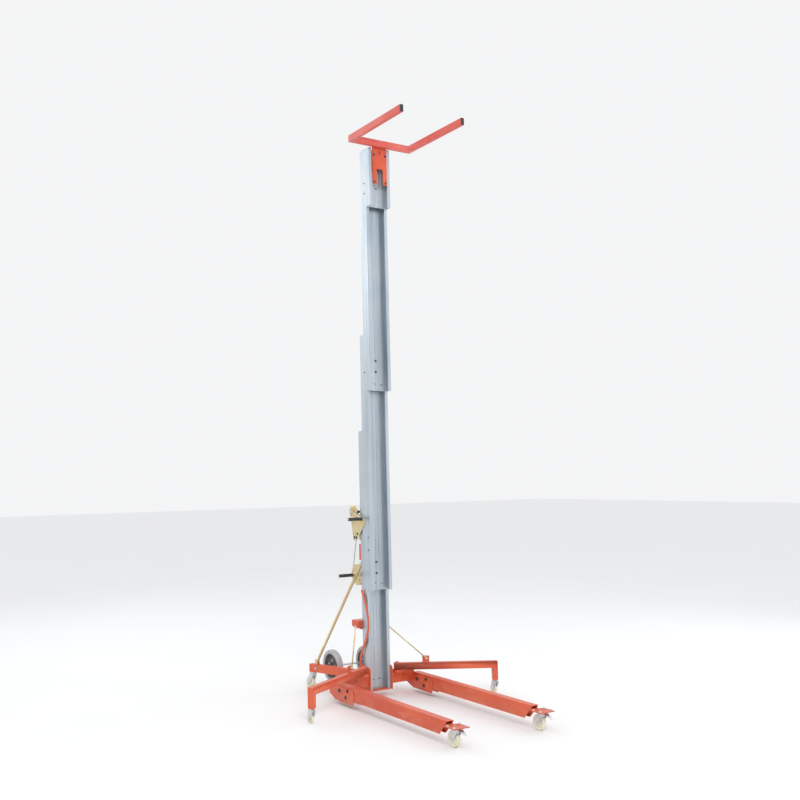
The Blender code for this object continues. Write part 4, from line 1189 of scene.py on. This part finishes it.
# ------------------------------------------------------------------ winch, sheave and handles
@dataclass
class Winch(Assembly):
    """The hand winch: geared drum with its rope, brake disc, crank and grip."""

    teeth: int = 44
    rope: float = 0.0048
    rounded: dict[str, float] = field(default_factory=lambda: {
        "winch_frame": 0.0006, "crank_arm": 0.0008, "handle_bracket": 0.0008})

    def build(self) -> None:
        """Makes the drum, the pinion, the disc, the grips and the sheave."""
        drum = frame_pivot("winch_drum_spin")
        crank = frame_pivot("crank_spin")
        bench = Bench()
        profile = [(-0.061, 0.0083), (-0.061, 0.020), (-0.049, 0.020), (-0.049, 0.050),
                   (-0.0485, 0.0518), (-0.0455, 0.0518),
                   (-0.045, 0.050), (-0.045, 0.030), (0.045, 0.030), (0.045, 0.050), (0.0455, 0.0518),
                   (0.0485, 0.0518), (0.049, 0.050), (0.049, 0.0083)]
        bench.turned(profile, drum, Axis.X, 56)
        bench.toothed(drum + Vector((-0.067, 0, 0)), 0.0555, 0.0596, self.teeth, 0.0115)
        bench.piece("winch_drum_turned", BRIGHT_ZINC, body_of("winch_drum"), ["winch_drum"])
        Bench().windings(drum + Vector((0.004, 0, 0)), 0.0326, self.rope, 16).piece(
            "drum_rope", WIRE, body_of("winch_drum"))
        bench = Bench().toothed(crank + Vector((-0.067, 0, 0)), 0.0108, 0.0144, 12, 0.0115)
        for start, end in ((-0.1209, -0.0725), (-0.0615, 0.1050)):
            bench.round_bar(crank + Vector((start, 0, 0)), crank + Vector((end, 0, 0)), 0.008, 28)
        bench.piece("pinion_shaft_cut", DARK_STEEL, body_of("pinion_shaft"), ["pinion_shaft"])
        self.disc(crank)
        self.hardware(drum, crank)
        self.grip("crank_grip")
        for name in SIDES:
            self.grip(f"handle_grip_{name}")
        self.sheave()
        self.stay()

    def stay(self) -> None:
        """The thin red stay behind the mast, between the winch and the lower sheave."""
        back = corner("column_1", True).y
        low, high = Vector((-0.0868, back + 0.0004, 1.009)), Vector((-0.0808, back + 0.0250, 1.129))
        bench = Bench().slab(low, high, 0.0012)
        for z in (low.z + 0.012, high.z - 0.012):
            bench.button((low.x, back + 0.0125, z), Axis.X, -1.0, 0.0050, 0.0024)
        bench.piece("winch_stay", FORK_RED, "base")

    def disc(self, crank: Vector) -> None:
        """The ratchet cover on the crank shaft, with its stepped face and studs.

        Args:
            crank: a point on the crank's axis.
        """
        centre = middle("brake_disc")
        place = Vector((centre.x, crank.y, crank.z))
        profile = [(-0.0053, 0.0083), (-0.0053, 0.0170), (-0.0045, 0.0190), (-0.0035, 0.0210),
                   (-0.0035, 0.0330), (-0.0043, 0.0350), (-0.0035, 0.0370), (-0.0025, 0.0460),
                   (0.0010, 0.0522), (0.0020, 0.0529), (0.0053, 0.0529), (0.0053, 0.0083)]
        bench = Bench().turned(profile, place, Axis.X, 60)
        bench.piece("brake_disc_pressed", GOLD_ZINC, body_of("brake_disc"), ["brake_disc"])
        bench = Bench()
        for step in range(4):
            angle = step * math.pi / 2 + 0.5
            out = Vector((-0.0034, 0.0270 * math.cos(angle), 0.0270 * math.sin(angle)))
            bench.button(place + out, Axis.X, -1.0, 0.0036, 0.0018)
        bench.piece("brake_disc_rivets", DARK_STEEL, body_of("brake_disc"))

    def hardware(self, drum: Vector, crank: Vector) -> None:
        """Nuts and screws of the winch frame and crank.

        Args:
            drum: a point on the drum's axis.
            crank: a point on the crank's axis.
        """
        low, high = corner("winch_frame"), corner("winch_frame", True)
        bench = Bench()
        for side, face in ((-1.0, low.x + 0.006), (1.0, high.x - 0.006)):
            for y, z in ((drum.y - 0.030, 1.176), (drum.y - 0.002, 1.178), (drum.y - 0.046, 1.206)):
                bench.bolt((face, y, z), Axis.X, side, 0.011)
        bench.piece("winch_frame_bolts", DARK_STEEL, body_of("winch_frame"))
        arm = corner("crank_arm", True)
        bench = Bench()
        bench.bolt((arm.x - 0.0066, crank.y, crank.z), Axis.X, -1.0, 0.017)
        bench.piece("crank_nut", BRIGHT_ZINC, body_of("crank_arm"))

    def grip(self, node: str) -> None:
        """A ribbed hand grip with a flange and a domed end.

        Args:
            node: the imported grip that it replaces.
        """
        low, high = corner(node), corner(node, True)
        centre = (low + high) / 2
        half = (high.x - low.x) / 2
        bore = 0.0065 if node == "crank_grip" else 0.0084
        profile = [(-half, bore), (-half, 0.0085), (-half + 0.0015, 0.0112), (-half + 0.004, 0.0124)]
        for rib in range(16):
            start = -half + 0.008 + rib * (2 * half - 0.020) / 16
            profile += [(start, 0.0124), (start + 0.0012, 0.0112), (start + 0.0030, 0.0112),
                        (start + 0.0042, 0.0124)]
        profile += [(half - 0.0065, 0.0125), (half - 0.0045, 0.0143), (half - 0.0010, 0.0144),
                    (half, 0.0136), (half, bore)]
        bench = Bench().turned(profile, centre, Axis.X, 40)
        bench.piece(node + "_ribbed", BLACK, body_of(node), [node])

    def sheave(self) -> None:
        """The big lower sheave: spun rim, dished web and a ring of rivets."""
        centre = middle("lower_sheave")
        half = [(-0.012, 0.0084), (-0.012, 0.019), (-0.0095, 0.021), (-0.0055, 0.024), (-0.0040, 0.030),
                (-0.0040, 0.060), (-0.0075, 0.066), (-0.0090, 0.070), (-0.0090, 0.0792), (-0.0080, 0.0800),
                (-0.0048, 0.0800), (-0.0040, 0.0790), (-0.0030, 0.0740)]
        mirror = [(-x, r) for x, r in reversed(half)]
        Bench().turned([*half, *mirror], centre, Axis.X, 72).piece(
            "lower_sheave_spun", GOLD_ZINC, body_of("lower_sheave"), ["lower_sheave"])
        bench = Bench()
        for step in range(6):
            angle = step * math.pi / 3
            for flank in (-1.0, 1.0):
                place = centre + Vector((flank * 0.0039, 0.046 * math.cos(angle), 0.046 * math.sin(angle)))
                bench.button(place, Axis.X, flank, 0.0042, 0.0018)
        bench.piece("lower_sheave_rivets", DARK_STEEL, body_of("lower_sheave"))


# ------------------------------------------------------------------ fork
@dataclass
class Fork(Assembly):
    """The load fork, its hanger, weld beads, bolts and end caps."""

    web_depth: float = 0.0437
    rounded: dict[str, float] = field(default_factory=lambda: {
        "fork_frame": 0.0030, "fork_hanger": 0.0010, "fork_cap_left": 0.0012, "fork_cap_right": 0.0012})

    def build(self) -> None:
        """Adds the beads and bolts."""
        low, high = corner("fork_hanger"), corner("fork_hanger", True)
        bench = Bench()
        for x, z in ((-0.0074, 0.061), (-0.0098, -0.022)):
            bench.button((x, corner("carriage").y + self.web_depth, low.z + z), Axis.Y, -1.0, 0.0085, 0.0040)
        bench.piece("carriage_bolts", DARK_STEEL, body_of("carriage"))
        bench = Bench()
        for x in (low.x + 0.014, high.x - 0.014):
            for z in (0.016, 0.230):
                bench.bolt((x, low.y, low.z + z), Axis.Y, -1.0, 0.011)
        bench.piece("hanger_bolts", DARK_STEEL, body_of("fork_hanger"))
        bar = corner("fork_frame", True).y
        foot = corner("fork_frame").z
        bench = Bench()
        for x0, x1 in ((low.x + 0.004, high.x - 0.004),):
            bench.weld((x0, bar - 0.001, foot - 0.0005), (x1, bar - 0.001, foot - 0.0005), 0.0026)
        bench.piece("fork_weld_under", FORK_RED, body_of("fork_frame"))


# ------------------------------------------------------------------ stage
@dataclass
class Studio:
    """The plain pale floor, the soft lights and the camera."""

    eye: Point = (-3.968, -5.857, 1.640)
    yaw: float = -29.54
    pitch: float = 5.003
    roll: float = -0.9305
    focal: float = 922.95
    centre: tuple[float, float] = (300.0, 396.8)

    def build(self) -> None:
        """Makes the stage."""
        bpy.context.scene.view_settings.view_transform = "Standard"
        self.floor()
        self.world()
        self.lights()
        self.camera()

    def floor(self) -> None:
        """A wide pale floor with a faint variation."""
        bm = bmesh.new()
        bmesh.ops.create_grid(bm, x_segments=1, y_segments=1, size=40.0)
        mesh = bpy.data.meshes.new("floor")
        bm.to_mesh(mesh)
        bm.free()
        made = bpy.data.objects.new("floor", mesh)
        bpy.context.collection.objects.link(made)
        graph = Graph("floor_finish")
        clouds = graph.noise(1.2, 3.0)
        graph.surface(Base_Color=graph.blend(clouds, (0.86, 0.865, 0.87, 1.0), (0.90, 0.90, 0.90, 1.0)),
                      Roughness=0.62 + clouds * 0.1)
        mesh.materials.append(graph.material)

    def world(self) -> None:
        """Even, almost white surroundings."""
        world = bpy.data.worlds.new("surroundings")
        world.use_nodes = True
        back = world.node_tree.nodes["Background"]
        back.inputs["Color"].default_value = (0.985, 0.99, 1.0, 1.0)
        back.inputs["Strength"].default_value = 0.92
        bpy.context.scene.world = world

    def lamp(self, name: str, place: Point, aim: Point, size: float, power: float) -> None:
        """One square soft light.

        Args:
            name: the light's name.
            place: where it stands.
            aim: the point that it faces.
            size: its width.
            power: its power in watts.
        """
        light = bpy.data.lights.new(name, "AREA")
        light.shape = "SQUARE"
        light.size = size
        light.energy = power
        made = bpy.data.objects.new(name, light)
        made.location = place
        made.rotation_euler = (Vector(aim) - Vector(place)).to_track_quat("-Z", "Y").to_euler()
        bpy.context.collection.objects.link(made)

    def lights(self) -> None:
        """A high key from the right, a broad fill from the left and a rim from behind."""
        self.lamp("key", (-2.6, -6.4, 6.4), (0.0, 0.0, 1.2), 3.0, 190.0)
        self.lamp("fill", (4.6, -1.0, 3.4), (0.0, 0.0, 1.0), 4.0, 40.0)
        self.lamp("rim", (-1.6, 5.0, 4.8), (0.0, 0.0, 1.8), 3.0, 50.0)

    def camera(self) -> None:
        """The camera at the viewing angle that the lift is shown from."""
        yaw, pitch, roll = (math.radians(v) for v in (self.yaw, self.pitch, self.roll))
        datum = float(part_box("column_1")[0][1])
        forward = Vector((-math.sin(yaw) * math.cos(pitch), math.cos(yaw) * math.cos(pitch), math.sin(pitch)))
        level = Vector((math.cos(yaw), math.sin(yaw), 0.0))
        above = level.cross(forward)
        right = level * math.cos(roll) + above * math.sin(roll)
        up = above * math.cos(roll) - level * math.sin(roll)
        lens = bpy.data.cameras.new("view")
        lens.sensor_width = 36.0
        lens.lens = self.focal * 36.0 / 800.0
        lens.shift_x = (400.0 - self.centre[0]) / 800.0
        lens.shift_y = (self.centre[1] - 400.0) / 800.0
        lens.clip_end = 200.0
        made = bpy.data.objects.new("view", lens)
        turn = Matrix((right, up, -forward)).transposed().to_4x4()
        made.matrix_world = Matrix.Translation(Vector(self.eye) + Vector((0.0, datum, 0.0))) @ turn
        bpy.context.collection.objects.link(made)
        bpy.context.scene.camera = made


def main() -> None:
    """Builds the stage and every sub-assembly."""
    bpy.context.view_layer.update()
    Studio().build()
    assemblies: list[Assembly] = [Mast(), Base(), Stabilizers(), TransportWheels(), Winch(), Fork()]
    assemblies += [Caster(kind, side) for kind in CasterKind for side in SIDES]
    for assembly in assemblies:
        assembly.build()
        assembly.finish()
        LOG.info("%s done", type(assembly).__name__)


if __name__ == "__main__":
    main()
